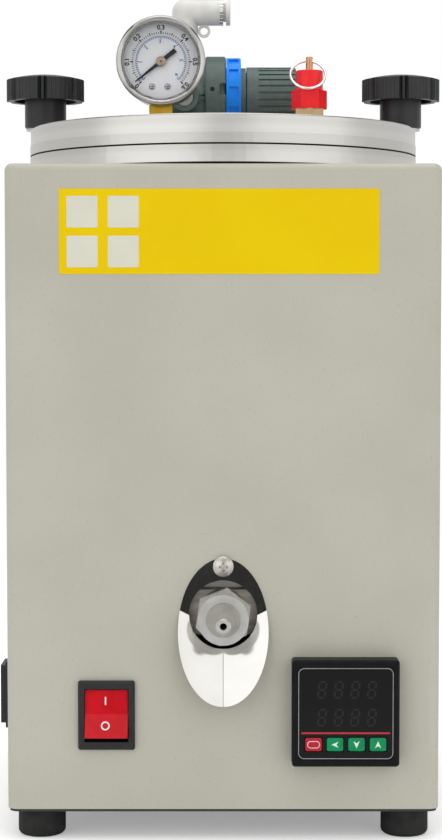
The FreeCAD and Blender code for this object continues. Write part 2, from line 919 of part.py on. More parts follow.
def insulation_jacket():
    jacket = ring(
        "insulation_jacket", "jacket_inner", "jacket_inner + jacket_thickness",
        "shell_top - pot_floor - heater_rise - sheet_thickness - jacket_clearance",
        "pot_floor + heater_rise",
    )
    slot = rectangle(sketch(jacket), "jacket_slot", "4 * jacket_thickness", "0", "jacket_inner + jacket_thickness")
    cut(jacket, slot)


def temperature_probe():
    """A screw-in probe under the pot: hexagon below, sheath in the pot's bottom."""
    probe = body("temperature_probe", "probe_x", "pot_y + probe_y", "pot_floor - pot_bottom")
    pad(probe, hexagon(sketch(probe), "probe_hex"), "probe_hex / 2", back=True)
    pad(probe, circle(sketch(probe), "probe_radius"), "probe_depth")
    pad(probe, circle(sketch(probe, offset="-(probe_hex / 2)"), "probe_radius"), "probe_hex", back=True)


# Lid and clamps
def lid():
    """A thick turned plate with a register, three tapped ports and two stud holes."""
    made = body("lid", "0", "pot_y", "lid_bottom")
    register = "pot_inner - lid_register_clearance"
    spin(
        made,
        [
            ("0", "-(lid_register_depth)"),
            (register, "-(lid_register_depth)"),
            (register, "0"),
            ("lid_radius", "0"),
            ("lid_radius", "lid_band"),
            ("lid_radius - lid_step", "lid_band"),
            ("lid_radius - lid_step", "lid_thickness - lid_chamfer"),
            ("lid_radius - lid_step - lid_chamfer", "lid_thickness"),
            ("0", "lid_thickness"),
        ],
    )
    holes = sketch(made, offset="lid_thickness")
    for side in (-1, 1):
        circle(holes, "stud_radius + stud_clearance", f"{side} * clamp_reach")
    cut(made, holes)
    ports = sketch(made, offset="lid_thickness")
    circle(ports, "gauge_thread_radius + thread_clearance", "gauge_x", "gauge_y")
    circle(ports, "nipple_radius + thread_clearance", "regulator_x", "regulator_y")
    circle(ports, "relief_thread_radius + thread_clearance", "relief_x", "relief_y")
    cut(made, ports, "port_depth + thread_clearance")
    airways = sketch(made, offset="lid_thickness")
    for x, y in (("gauge_x", "gauge_y"), ("regulator_x", "regulator_y"), ("relief_x", "relief_y")):
        circle(airways, "tip_orifice_radius", x, y)
    cut(made, airways)


def clamp(side, hand):
    """A washer, a stud and a lobed knob on one side of the lid."""
    x = f"{hand} * clamp_reach"
    washer = body(f"clamp_washer_{side}", x, "pot_y", "lid_top")
    pad(washer, circle(circle(sketch(washer), "washer_radius"), "stud_radius + stud_clearance"), "washer_thickness")

    stud = body(f"clamp_stud_{side}", x, "pot_y", "lid_top")
    length = "lid_thickness + gasket_thickness + flange_thickness - screw_clearance"
    grip = "washer_thickness + knob_hub_height + stud_grip"
    tip = "stud_radius * 0.25"
    spin(
        stud,
        [
            ("0", f"-({length})"),
            (f"stud_radius - {tip}", f"-({length})"),
            ("stud_radius", f"-({length}) + {tip}"),
            ("stud_radius", grip),
            ("0", grip),
        ],
    )

    knob = body(f"clamp_knob_{side}", x, "pot_y", "knob_bottom")
    rim = "knob_hub_height + knob_head_height"
    spin(
        knob,
        [
            ("0", "0"),
            ("knob_hub_radius - lid_chamfer", "0"),
            ("knob_hub_radius", "lid_chamfer"),
            ("knob_hub_radius", "knob_hub_height + knob_hollow"),
            ("knob_head_radius - knob_skirt", "knob_hub_height + knob_hollow"),
            ("knob_head_radius - knob_skirt", "knob_hub_height"),
            ("knob_head_radius", "knob_hub_height"),
            ("knob_head_radius", rim),
            dome("knob_head_radius", rim, "knob_dome"),
        ],
    )
    notch = sketch(knob, offset="knob_hub_height")
    outer = "knob_head_radius + knob_notch_width"
    inner = "knob_head_radius - knob_notch_depth"
    outline(
        notch,
        [
            ("-(knob_notch_width) * 1.6", f"-({outer})"),
            ("-(knob_notch_width) * 0.4", f"-({inner})"),
            ("knob_notch_width * 0.4", f"-({inner})", "0", f"knob_notch_width * 0.3 - ({inner})"),
            ("knob_notch_width * 1.6", f"-({outer})"),
        ],
    )
    first = cut(knob, notch, "knob_head_height + knob_dome", ahead=True)
    around(knob, [first], "knob_lobes")
    socket = circle(sketch(knob), "stud_radius")
    cut(knob, socket, "knob_hub_height + stud_grip", ahead=True)


# Pressure gauge
def gauge_body(label):
    """A body on the gauge's axis, facing the front."""
    return body(label, "gauge_x", "pot_y + gauge_y", "gauge_z", FRONT)


def gauge_case():
    case = gauge_body("gauge_case")
    back_round = "gauge_case_wall * 2"
    spin(
        case,
        [
            ("0", "-(gauge_back)"),
            (f"gauge_case_radius - {back_round}", "-(gauge_back)"),
            (
                "gauge_case_radius", f"-(gauge_back) + {back_round}",
                f"gauge_case_radius - {back_round} * (1 - cos(45))",
                f"-(gauge_back) + {back_round} * (1 - cos(45))",
            ),
            ("gauge_case_radius", "gauge_case_front"),
            ("gauge_case_radius - gauge_case_wall", "gauge_case_front"),
            ("gauge_case_radius - gauge_case_wall", "gauge_dial_level"),
            ("spindle_radius + thread_clearance", "gauge_dial_level"),
            ("spindle_radius + thread_clearance", "0"),
            ("0", "0"),
        ],
    )
    neck = sketch(case, "XZ_Plane", "gauge_case_radius - gauge_neck_depth")
    circle(neck, "gauge_neck_radius + thread_clearance")
    cut(case, neck, "2 * gauge_neck_depth", ahead=True)


def gauge_bezel():
    """A rolled ring round the case's front, with a round outer shoulder."""
    inner = "gauge_case_radius + thread_clearance"
    lip = "gauge_case_front + thread_clearance"
    spin(
        gauge_body("gauge_bezel"),
        [
            (inner, "gauge_bezel_start"),
            ("gauge_bezel_radius", "gauge_bezel_start"),
            ("gauge_bezel_radius", "gauge_bezel_front - 2.2"),
            (
                "gauge_bezel_radius - 1.4", "gauge_bezel_front",
                "gauge_bezel_radius - 0.32", "gauge_bezel_front - 0.6",
            ),
            ("gauge_window_radius + 0.9", "gauge_bezel_front - 0.9"),
            ("gauge_window_radius", lip),
            (inner, lip),
        ],
    )


def gauge_dial():
    dial = gauge_body("gauge_dial")
    radius = "gauge_case_radius - gauge_case_wall - thread_clearance"
    hole = "spindle_radius * 1.6"
    pad(
        dial,
        circle(circle(sketch(dial, offset="gauge_dial_level"), radius), hole),
        "dial_thickness",
    )


def gauge_lens():
    lens = gauge_body("gauge_lens")
    radius = "gauge_case_radius - gauge_case_wall - thread_clearance"
    pad(lens, circle(sketch(lens, offset="gauge_case_front - glass_thickness"), radius), "glass_thickness")


def gauge_stem():
    """Square wrench flats on the lid, a thread below and a neck up into the case."""
    stem = body("gauge_stem", "gauge_x", "pot_y + gauge_y", "lid_top")
    square_top = "gauge_rise - gauge_case_radius - thread_clearance"
    square = sketch(stem)
    rectangle(square, "gauge_stem_width", "gauge_stem_width")
    pad(stem, square, square_top)
    pad(stem, circle(sketch(stem), "gauge_thread_radius"), "port_depth", back=True)
    neck = circle(sketch(stem, offset=square_top), "gauge_neck_radius")
    pad(stem, neck, "gauge_neck_depth - thread_clearance")
    cut(stem, circle(sketch(stem), "tip_orifice_radius"))


def gauge_pointer():
    """A needle with a broad tail, on a spindle, at rest at the zero mark."""
    pointer = gauge_body("gauge_pointer")
    level = "gauge_dial_level + dial_thickness + pointer_gap"
    turn_round = Rotation(Vector(0, 0, 1), 180 - value("pointer_rest_angle"))
    pointer.Placement = Placement(pointer.Placement.Base, pointer.Placement.Rotation.multiply(turn_round))
    needle = sketch(pointer, offset=level)
    outline(
        needle,
        [
            ("-(pointer_tip_width) / 2", "pointer_length"),
            ("-(pointer_hub_radius) * 0.4", "0"),
            ("-(pointer_tail_width) / 2", "-(pointer_tail)"),
            ("pointer_tail_width / 2", "-(pointer_tail)"),
            ("pointer_hub_radius * 0.4", "0"),
            ("pointer_tip_width / 2", "pointer_length"),
        ],
    )
    pad(pointer, needle, "pointer_thickness")
    hub = circle(sketch(pointer, offset=f"{level} - pointer_gap / 2"), "pointer_hub_radius")
    pad(pointer, hub, "pointer_thickness + pointer_gap / 2 + 0.3")
    spindle = circle(sketch(pointer, offset="thread_clearance"), "spindle_radius")
    pad(pointer, spindle, level)


# Air regulator, lying along +X
def regulator_body_at(label):
    """A body on the regulator's axis: local Z to the right, local X down."""
    return body(label, "regulator_x", "pot_y + regulator_y", "regulator_z", RIGHT)


def regulator_body():
    """A die-cast block: a round chamber, ports up and down, a plugged boss in front."""
    made = regulator_body_at("regulator_body")
    rim = "lid_chamfer * 2"
    spin(
        made,
        [
            ("0", "-(regulator_back)"),
            (f"regulator_radius - {rim}", "-(regulator_back)"),
            ("regulator_radius", f"-(regulator_back) + {rim}"),
            ("regulator_radius", "regulator_front"),
            ("0", "regulator_front"),
        ],
    )
    pad(made, circle(sketch(made, "YZ_Plane"), "regulator_port_radius"), "2 * regulator_port_reach", both=True)
    boss = circle(sketch(made, "XZ_Plane"), "regulator_boss_radius", "regulator_boss_drop")
    pad(made, boss, "regulator_boss_reach")
    upper = circle(sketch(made, "YZ_Plane", "-(regulator_port_reach)"), "elbow_thread_radius + thread_clearance")
    cut(made, upper, "port_depth + thread_clearance", ahead=True)
    lower = circle(sketch(made, "YZ_Plane", "regulator_port_reach"), "nipple_radius + thread_clearance")
    cut(made, lower, "nipple_entry + thread_clearance")
    plugged = sketch(made, "XZ_Plane", "regulator_boss_reach")
    circle(plugged, "regulator_plug_radius + thread_clearance", "regulator_boss_drop")
    cut(made, plugged, "regulator_plug_length + thread_clearance")


def regulator_plug():
    """A steel socket plug in the spare gauge port."""
    plug = body(
        "regulator_plug",
        "regulator_x",
        "pot_y + regulator_y - regulator_boss_reach",
        "regulator_z - regulator_boss_drop",
        FRONT,
    )
    pad(plug, circle(sketch(plug), "regulator_plug_radius"), "regulator_plug_length", back=True)
    chamfer(plug, "0.5 * lid_chamfer", at_level(0.0))
    cut(plug, hexagon(sketch(plug), "regulator_plug_hex"), "regulator_plug_length / 2")


def regulator_bonnet():
    """The spring bonnet: a broad collar, and the neck that the blue ring screws on."""
    bonnet = regulator_body_at("regulator_bonnet")
    start = "regulator_front"
    shoulder = "regulator_front + bonnet_length"
    end = f"{shoulder} + bonnet_neck_length"
    bore = "spindle_hex / 2 / cos(30) + thread_clearance"
    lip = "adjuster_radius - adjuster_wall - bonnet_lip_gap"
    spin(
        bonnet,
        [
            (bore, start),
            ("bonnet_radius - lid_chamfer", start),
            ("bonnet_radius", f"{start} + lid_chamfer"),
            ("bonnet_radius", f"{shoulder} - lid_chamfer"),
            ("bonnet_radius - lid_chamfer", shoulder),
            ("bonnet_neck_radius", shoulder),
            ("bonnet_neck_radius", end),
            (lip, end),
            (lip, f"{end} + bonnet_lip_length"),
            (bore, f"{end} + bonnet_lip_length"),
        ],
    )
    front = sketch(bonnet, "XZ_Plane", "bonnet_radius")
    circle(front, "bonnet_hole_radius", "-(bonnet_hole_radius)", f"{start} + bonnet_length * 0.35")
    rectangle(
        front, "bonnet_length * 0.52", "bonnet_length * 0.3",
        "-(bonnet_hole_radius)", f"{shoulder} - bonnet_length * 0.15",
    )
    cut(bonnet, front, "bonnet_hole_radius * 2")


def regulator_lock_ring():
    """The blue panel ring with twelve grip recesses."""
    made = regulator_body_at("regulator_lock_ring")
    start = "regulator_front + bonnet_length + lock_ring_gap"
    end = f"{start} + lock_ring_length"
    bevel = "lid_chamfer * 0.6"
    spin(
        made,
        [
            ("bonnet_neck_radius + thread_clearance", start),
            ("lock_ring_radius", start),
            ("lock_ring_radius", f"{end} - {bevel}"),
            (f"lock_ring_radius - {bevel}", end),
            ("bonnet_neck_radius + thread_clearance", end),
        ],
    )
    recess = sketch(made, offset=f"{start} + (lock_ring_length - lock_ring_notch_length) / 2")
    rectangle(recess, "lock_ring_notch_width", "lock_ring_notch_depth * 2", "0", "lock_ring_radius")
    first = cut(made, recess, "lock_ring_notch_length", ahead=True)
    around(made, [first], "lock_ring_notches")


def regulator_spindle():
    """The hexagonal adjusting spindle that the knob slides on."""
    made = regulator_body_at("regulator_spindle")
    start = "regulator_front + lid_chamfer"
    length = "adjuster_start + adjuster_length * 0.8 - regulator_front - lid_chamfer"
    pad(made, hexagon(sketch(made, offset=start), "spindle_hex"), length)


def regulator_knob():
    """A hollow ribbed knob with a hub on the spindle."""
    knob = regulator_body_at("regulator_knob")
    start = "adjuster_start"
    end = "adjuster_start + adjuster_length"
    inner = "adjuster_radius - adjuster_wall"
    spin(
        knob,
        [
            ("0", "adjuster_start + adjuster_wall"),
            ("adjuster_hub_radius", "adjuster_start + adjuster_wall"),
            ("adjuster_hub_radius", f"{end} - adjuster_wall"),
            (inner, f"{end} - adjuster_wall"),
            (inner, start),
            ("adjuster_radius - adjuster_gap", start),
            ("adjuster_radius", f"{start} + adjuster_gap"),
            ("adjuster_radius", f"{end} - lid_chamfer"),
            ("adjuster_radius - lid_chamfer", end),
            ("0", end),
        ],
    )
    rib_gap = sketch(knob, offset="adjuster_start + adjuster_plain")
    rectangle(rib_gap, "adjuster_rib_width", "adjuster_rib_depth * 2", "0", "adjuster_radius")
    first = cut(knob, rib_gap, "adjuster_length", ahead=True)
    around(knob, [first], "adjuster_ribs")
    socket = hexagon(sketch(knob), "spindle_hex + 2 * thread_clearance")
    cut(knob, socket, "adjuster_start + adjuster_length * 0.86", ahead=True)


def regulator_nipple():
    """A brass nipple between the lid's port and the regulator's lower port."""
    nipple = body("regulator_nipple", "regulator_x", "pot_y + regulator_y", "lid_top")
    nut = "regulator_rise - regulator_port_reach"
    pad(nipple, hexagon(sketch(nipple), "nipple_hex"), f"{nut} - thread_clearance")
    pad(nipple, circle(sketch(nipple), "nipple_radius"), "port_depth", back=True)
    pad(nipple, circle(sketch(nipple), "nipple_radius"), f"{nut} + nipple_entry")
    cut(nipple, circle(sketch(nipple), "outlet_radius"))


# Push-in elbow
def elbow_stem():
    """The brass screw-in stem that the elbow swivels on."""
    stem = body("elbow_stem", "regulator_x", "pot_y + regulator_y", "regulator_z + regulator_port_reach")
    pad(stem, hexagon(sketch(stem), "elbow_hex"), "elbow_hex_height")
    pad(stem, circle(sketch(stem), "elbow_thread_radius"), "port_depth", back=True)
    journal = circle(sketch(stem, offset="elbow_hex_height"), "elbow_journal_radius")
    pad(stem, journal, "elbow_journal_length")
    cut(stem, circle(sketch(stem), "tip_orifice_radius"))


def elbow_body():
    """A bent plastic body with a socket for the stem, a tube socket and an eyelet."""
    radius = value("elbow_radius")
    rise = value("elbow_axis")
    reach = value("elbow_reach")
    corner, arm_end = Vector(0, 0, rise), Vector(reach, 0, rise)
    leg = Part.makeCylinder(radius, rise)
    arm = Part.makeCylinder(radius, reach, corner, Vector(1, 0, 0))
    pipe = leg.fuse([Part.makeSphere(radius, corner), arm])

    drop = value("eyelet_drop")
    eyelet_radius = value("eyelet_radius")
    thickness = value("eyelet_thickness")
    side = Vector(value("eyelet_x"), thickness / 2, rise - drop)
    ahead = Vector(0, -1, 0)
    eyelet = Part.makeCylinder(eyelet_radius, thickness, side, ahead)
    web_corner = Vector(side.x - eyelet_radius / 2, -thickness / 2, rise - drop)
    web = Part.makeBox(eyelet_radius, thickness, drop, web_corner)
    outside = pipe.fuse([eyelet, web])

    journal = value("elbow_journal_length - elbow_gap + thread_clearance")
    mouth = value("collar_sleeve_length + collar_travel_gap")
    tube = value("tube_depth")
    back = Vector(-1, 0, 0)
    holes = [
        Part.makeCylinder(value("eyelet_hole"), thickness, side, ahead),
        Part.makeCylinder(value("elbow_journal_radius + thread_clearance"), journal),
        Part.makeCylinder(value("tip_orifice_radius"), rise),
        Part.makeCylinder(value("collar_sleeve_radius + tip_fit"), mouth, arm_end, back),
        Part.makeCylinder(value("tube_radius + tube_clearance"), tube, arm_end, back),
    ]
    feature("elbow_body", outside.cut(holes), "regulator_x", "pot_y + regulator_y", "elbow_bottom")


def release_collar():
    """The push-to-release collar in the elbow's mouth."""
    collar = body(
        "release_collar", "regulator_x + elbow_reach", "pot_y + regulator_y", "elbow_bottom + elbow_axis", RIGHT
    )
    bore = "tube_radius + 4 * tube_clearance"
    flange = "collar_travel_gap + collar_flange"
    spin(
        collar,
        [
            (bore, "-(collar_sleeve_length) + collar_travel_gap"),
            ("collar_sleeve_radius", "-(collar_sleeve_length) + collar_travel_gap"),
            ("collar_sleeve_radius", "collar_travel_gap"),
            ("elbow_radius", "collar_travel_gap"),
            ("elbow_radius", f"{flange} - lid_chamfer / 2"),
            ("elbow_radius - lid_chamfer / 2", flange),
            (bore, flange),
        ],
    )


# Safety valve
def relief_body(label, rise="0"):
    """A body on the safety valve's axis."""
    z = "lid_top" if rise == "0" else f"lid_top + {rise}"
    return body(label, "relief_x", "pot_y + relief_y", z)


def safety_valve_base():
    base = relief_body("safety_valve_base")
    pad(base, hexagon(sketch(base), "relief_hex", "30"), "relief_base_height")
    pad(base, circle(sketch(base), "relief_thread_radius"), "port_depth", back=True)
    neck = circle(sketch(base, offset="relief_base_height"), "relief_neck_radius")
    pad(base, neck, "relief_neck_height")
    cut(base, circle(sketch(base), "relief_stem_radius + thread_clearance"))


def safety_valve_cap():
    """The red cap: a hexagon below, a round top, a spring room inside."""
    cap = relief_body("safety_valve_cap", "relief_base_height")
    pad(cap, hexagon(sketch(cap), "relief_cap_hex"), "relief_cap_hex_height")
    pad(cap, circle(sketch(cap), "relief_cap_radius"), "relief_cap_height")
    chamfer(cap, "0.5 * lid_chamfer", at_level(value("relief_cap_height")))
    room = "relief_cap_height - relief_cap_top"
    cut(cap, circle(sketch(cap), "relief_neck_radius + thread_clearance"), room, ahead=True)
    cut(cap, circle(sketch(cap), "relief_stem_radius + thread_clearance"))


def safety_valve_stem():
    """The pull stem with its spring flange and the cross hole for the ring."""
    stem = relief_body("safety_valve_stem")
    flange = "relief_base_height + relief_neck_height + thread_clearance"
    top_bevel = "relief_stem_radius * 0.25"
    spin(
        stem,
        [
            ("0", "relief_base_height / 4"),
            ("relief_stem_radius", "relief_base_height / 4"),
            ("relief_stem_radius", flange),
            ("relief_flange_radius", flange),
            ("relief_flange_radius", f"{flange} + relief_flange_height"),
            ("relief_stem_radius", f"{flange} + relief_flange_height"),
            ("relief_stem_radius", f"relief_stem_height - {top_bevel}"),
            (f"relief_stem_radius - {top_bevel}", "relief_stem_height"),
            ("0", "relief_stem_height"),
        ],
    )
    cut(stem, circle(sketch(stem, "YZ_Plane"), "ring_hole_radius", "0", "ring_hole_height"))


def safety_valve_ring():
    """The pull ring, threaded through the stem and leaning forward on the cap."""
    made = doc.addObject("Part::Torus", "safety_valve_ring")
    made.Label = "safety_valve_ring"
    tie(made, "Radius1", "ring_radius")
    tie(made, "Radius2", "ring_wire_radius")
    put(
        made,
        "relief_x - ring_radius * sin(ring_roll)",
        "pot_y + relief_y - ring_radius * cos(ring_roll) * sin(ring_lean)",
        "lid_top + ring_hole_height - ring_radius * cos(ring_roll) * cos(ring_lean)",
        ((1, 0, 0), -90 - value("ring_lean")),
    )
    sub_parts.append(made)


def coil(label, x, y, z, turn, radius, wire, height, turns):
    """A compression spring, wound by a helix feature."""
    made = body(label, x, y, z, turn)
    winding = made.newObject("PartDesign::AdditiveHelix", label + "_helix")
    winding.Profile = circle(sketch(made, "XZ_Plane"), f"{wire} / 2", radius, f"{wire} / 2")
    winding.ReferenceAxis = (winding.Profile[0], ["V_Axis"])
    winding.Mode = "height-turns-angle"
    tie(winding, "Height", f"{height} - {wire}")
    tie(winding, "Turns", turns)


# Nozzle and drip plate
def nozzle_body_at(label):
    """A body on the nozzle's axis at the housing's front face, facing the front."""
    return body(label, "0", "front_y", "nozzle_height", FRONT)


def valve_block():
    block = nozzle_body_at("valve_block")
    back = "-(block_setback) - block_depth"
    pad(block, rectangle(sketch(block, offset=back), "block_width", "block_height"), "block_depth")
    tapped = circle(sketch(block, offset="-(block_setback)"), "hex_thread_radius + thread_clearance")
    cut(block, tapped, "hex_thread_length + thread_clearance")
    cut(block, circle(sketch(block), "outlet_radius"))


def nozzle_body():
    """The hexagonal body: flats, a round chamfered nose, a thread and a spring chamber."""
    made = nozzle_body_at("nozzle_body")
    pad(made, circle(sketch(made, offset="-(block_setback)"), "shank_radius"), "hex_reach + block_setback")
    pad(made, hexagon(sketch(made, offset="hex_reach - hex_length"), "hex_across", "90 - hex_turn"), "hex_length")
    corner = "hex_across"
    groove(
        made,
        [
            ("hex_face_radius", "hex_reach + 1"),
            ("hex_face_radius", "hex_reach"),
            (corner, "hex_reach - hex_chamfer * hex_across / hex_face_radius"),
            (corner, "hex_reach + 1"),
        ],
    )
    thread = circle(sketch(made, offset="-(block_setback)"), "hex_thread_radius")
    pad(made, thread, "hex_thread_length", back=True)
    guide = circle(sketch(made, offset="hex_reach"), "tip_radius + tip_fit")
    cut(made, guide, "hex_reach")
    chamber = circle(sketch(made, offset="-(chamber_back)"), "chamber_radius")
    cut(made, chamber, "chamber_front + chamber_back", ahead=True)
    cut(made, circle(sketch(made), "outlet_radius"))


def nozzle_tip():
    """The sprung tip: a guided barrel with a stop collar and a cone with the orifice."""
    tip = nozzle_body_at("nozzle_tip")
    back = "chamber_front - tip_collar_length - tip_fit"
    stop = "chamber_front - tip_fit"
    bevel = "tip_orifice_radius * 0.3"
    spin(
        tip,
        [
            ("tip_orifice_radius", back),
            ("tip_collar_radius", back),
            ("tip_collar_radius", stop),
            ("tip_radius", stop),
            ("tip_radius", "hex_reach + tip_straight"),
            ("tip_nose_radius", f"nozzle_reach - {bevel}"),
            (f"tip_nose_radius - {bevel}", "nozzle_reach"),
            ("tip_orifice_radius", "nozzle_reach"),
        ],
    )
    seat = "(chamber_front + hex_reach) / 2"
    groove(
        tip,
        [
            ("tip_radius - seal_wire", f"{seat} - seal_wire"),
            ("tip_radius + 1", f"{seat} - seal_wire"),
            ("tip_radius + 1", f"{seat} + seal_wire"),
            ("tip_radius - seal_wire", f"{seat} + seal_wire"),
        ],
    )


def nozzle_seal():
    """A square-cut seal in the tip's groove."""
    seat = "(chamber_front + hex_reach) / 2"
    half = "seal_wire * 0.8"
    spin(
        nozzle_body_at("nozzle_seal"),
        [
            ("tip_radius - seal_wire + thread_clearance", f"{seat} - {half}"),
            ("tip_radius", f"{seat} - {half}"),
            ("tip_radius", f"{seat} + {half}"),
            ("tip_radius - seal_wire + thread_clearance", f"{seat} + {half}"),
        ],
    )


def nozzle_spring():
    room = "chamber_front + chamber_back - tip_collar_length - 4 * tip_fit"
    coil(
        "nozzle_spring", "0", "front_y + chamber_back - tip_fit", "nozzle_height", FRONT,
        "spring_radius", "spring_wire", room, "spring_turns",
    )


def drip_plate():
    """An oval plate with the nozzle's hole, its lower half folded out and creased.

    Each panel is a flat face pushed back by the plate's thickness, so panels meet
    edge to edge. The oval and the hole are cut straight through from the front."""
    lean = math.tan(math.radians(value("plate_lean")))
    side = math.tan(math.radians(value("plate_crease")))
    fold_z = value("plate_fold_height")
    fold_x = value("plate_fold_x")
    top = value("plate_top")
    bottom = value("plate_bottom")
    thickness = value("plate_thickness")
    half = value("plate_width") / 2
    edge = half + thickness

    def fold_height(x):
        return fold_z + side / lean * (abs(x) - fold_x)

    def front_depth(x, z):
        return -thickness - lean * (fold_z - z) - side * (abs(x) - fold_x)

    middle = (0, fold_height(0))
    upper = [(-edge, fold_height(edge)), middle, (edge, fold_height(edge)), (edge, top + 1), (-edge, top + 1)]
    panels = [[Vector(x, -thickness, z) for x, z in upper]]
    for hand in (-1, 1):
        lower = [middle, (hand * edge, fold_height(edge)), (hand * edge, -bottom - 1), (0, -bottom - 1)]
        panels.append([Vector(x, front_depth(x, z), z) for x, z in lower])
    solids = []
    for corners in panels:
        wire = Part.makePolygon(corners + corners[:1])
        solids.append(Part.Face(wire).extrude(Vector(0, thickness, 0)))
    folded = solids[0].fuse(solids[1:]).removeSplitter()
    tall = (top + bottom) / 2
    reach = bottom
    oval = Part.Ellipse(Vector(0, 0, 0), tall, half).toShape()
    prism = Part.Face(Part.Wire(oval)).extrude(Vector(0, 0, 2 * reach))
    prism.rotate(Vector(), Vector(0, 0, 1), 90)
    prism.rotate(Vector(), Vector(1, 0, 0), 90)
    prism.translate(Vector(0, reach, (top - bottom) / 2))
    hole = Part.makeCylinder(value("plate_hole"), 2 * reach, Vector(0, reach, 0), Vector(0, -1, 0))
    screw_z = top - value("plate_screw_drop")
    screw_radius = value("screw_radius + screw_clearance")
    screw_hole = Part.makeCylinder(screw_radius, 2 * reach, Vector(0, reach, screw_z), Vector(0, -1, 0))
    shape = folded.common(prism).cut(hole).cut(screw_hole)
    feature("drip_plate", shape, "0", "front_y", "nozzle_height")


def drip_plate_screw():
    """A broad pan-head screw through the plate and the housing's front."""
    screw = body("drip_plate_screw", "0", "front_y", "nozzle_height + plate_top - plate_screw_drop", FRONT)
    level = "plate_thickness"
    spin(
        screw,
        [
            ("0", "-(sheet_thickness) * 4"),
            ("screw_radius", "-(sheet_thickness) * 4"),
            ("screw_radius", level),
            ("plate_screw_head", level),
            ("plate_screw_head", f"{level} + screw_head_height * 0.35"),
            dome("plate_screw_head", f"{level} + screw_head_height * 0.35", "screw_head_height * 0.8"),
        ],
    )
    cross = sketch(screw, offset=f"{level} + screw_head_height * 1.15")
    cross_outline(cross, "plate_screw_head * 0.42", "screw_cross_width * 0.6")
    cut(screw, cross, "screw_cross_depth * 1.3")


# Rocker switch
def switch_frame():
    """The snap-in frame: a bevelled bezel on the panel and a deep well behind it."""
    frame = body("switch_frame", "switch_x", "front_y", "switch_height", FRONT)
    pad(frame, rounded(sketch(frame), "switch_width", "switch_tall", "1"), "switch_bezel")
    chamfer(frame, "lid_chamfer", at_level(value("switch_bezel")))
    rear = rectangle(sketch(frame), "switch_body_width", "switch_body_tall")
    pad(frame, rear, "switch_body_depth", back=True)
    well = rectangle(sketch(frame, offset="switch_bezel"), "switch_window_width", "switch_window_tall")
    cut(frame, well, "switch_well")
    sockets = sketch(frame, "YZ_Plane", "-(switch_window_width / 2) - trunnion_length - trunnion_fit")
    circle(sockets, "trunnion_radius + trunnion_fit", "0", "-(rocker_pivot_depth)")
    cut(frame, sockets, "switch_window_width + 2 * (trunnion_length + trunnion_fit)", ahead=True)


def switch_rocker():
    """The rocker: two tilted faces over a round back, on two trunnions."""
    rocker = body("switch_rocker", "switch_x", "front_y + rocker_pivot_depth", "switch_height", FRONT)
    tilt = Rotation(Vector(1, 0, 0), -value("rocker_tilt"))
    rocker.Placement = Placement(rocker.Placement.Base, rocker.Placement.Rotation.multiply(tilt))
    side = sketch(rocker, "YZ_Plane", "-(rocker_width / 2)")
    outline(
        side,
        [
            ("rocker_half_tall", "rocker_end"),
            ("0", "rocker_middle"),
            ("-(rocker_half_tall)", "rocker_end"),
            ("-(rocker_half_tall) + 0.3", "-1"),
            ("rocker_half_tall - 0.3", "-1", "0", "-(rocker_back_radius)"),
        ],
    )
    pad(rocker, side, "rocker_width")
    pin = circle(sketch(rocker, "YZ_Plane"), "trunnion_radius")
    pad(rocker, pin, "switch_window_width + 2 * trunnion_length", both=True)


# Temperature controller
def controller_case():
    """A 48 mm square case: bezel in front of the panel, body behind it, wells for the keys."""
    case = body("controller_case", "controller_x", "front_y", "controller_height", FRONT)
    pad(case, rounded(sketch(case), "controller_bezel", "controller_bezel", "1.5"), "controller_rise")
    chamfer(case, "lid_chamfer", at_level(value("controller_rise")))
    rear = rectangle(sketch(case), "controller_body", "controller_body")
    pad(case, rear, "controller_depth", back=True)
    recess = sketch(case, offset="controller_rise")
    rounded(
        recess, "controller_face_width + 2 * thread_clearance",
        "controller_face_tall + 2 * thread_clearance", "3",
    )
    cut(case, recess, "controller_face_recess + controller_face_thickness")
    wells = sketch(case, offset="controller_rise")
    for place in key_places.values():
        rectangle(wells, "key_width + 2 * key_gap", "key_tall + 2 * key_gap", key_x(place), "-(key_drop)")
    cut(case, wells, "controller_face_recess + controller_face_thickness + key_depth + key_travel")


key_places = {"key_set": -1.5, "key_left": -0.5, "key_down": 0.5, "key_up": 1.5}


def key_x(place):
    return f"{place} * key_pitch"


def controller_front():
    """The dark front sheet with a hole for each key."""
    sheet_front = body("controller_front", "controller_x", "front_y", "controller_height", FRONT)
    level = "controller_rise - controller_face_recess - controller_face_thickness"
    face = rounded(sketch(sheet_front, offset=level), "controller_face_width", "controller_face_tall", "3")
    pad(sheet_front, face, "controller_face_thickness")
    holes = sketch(sheet_front)
    for place in key_places.values():
        rectangle(holes, "key_width + 2 * key_gap", "key_tall + 2 * key_gap", f"{place} * key_pitch", "-(key_drop)")
    cut(sheet_front, holes)


def controller_key(label, place):
    key = body(
        label, f"controller_x + {place} * key_pitch", "front_y", "controller_height - key_drop", FRONT
    )
    top = "controller_rise - controller_face_recess + key_rise"
    height = "controller_face_thickness + key_rise + key_depth"
    pad(key, rounded(sketch(key, offset=top), "key_width", "key_tall", "0.8"), height, back=True)
    chamfer(key, "key_gap", at_level(value(top)))


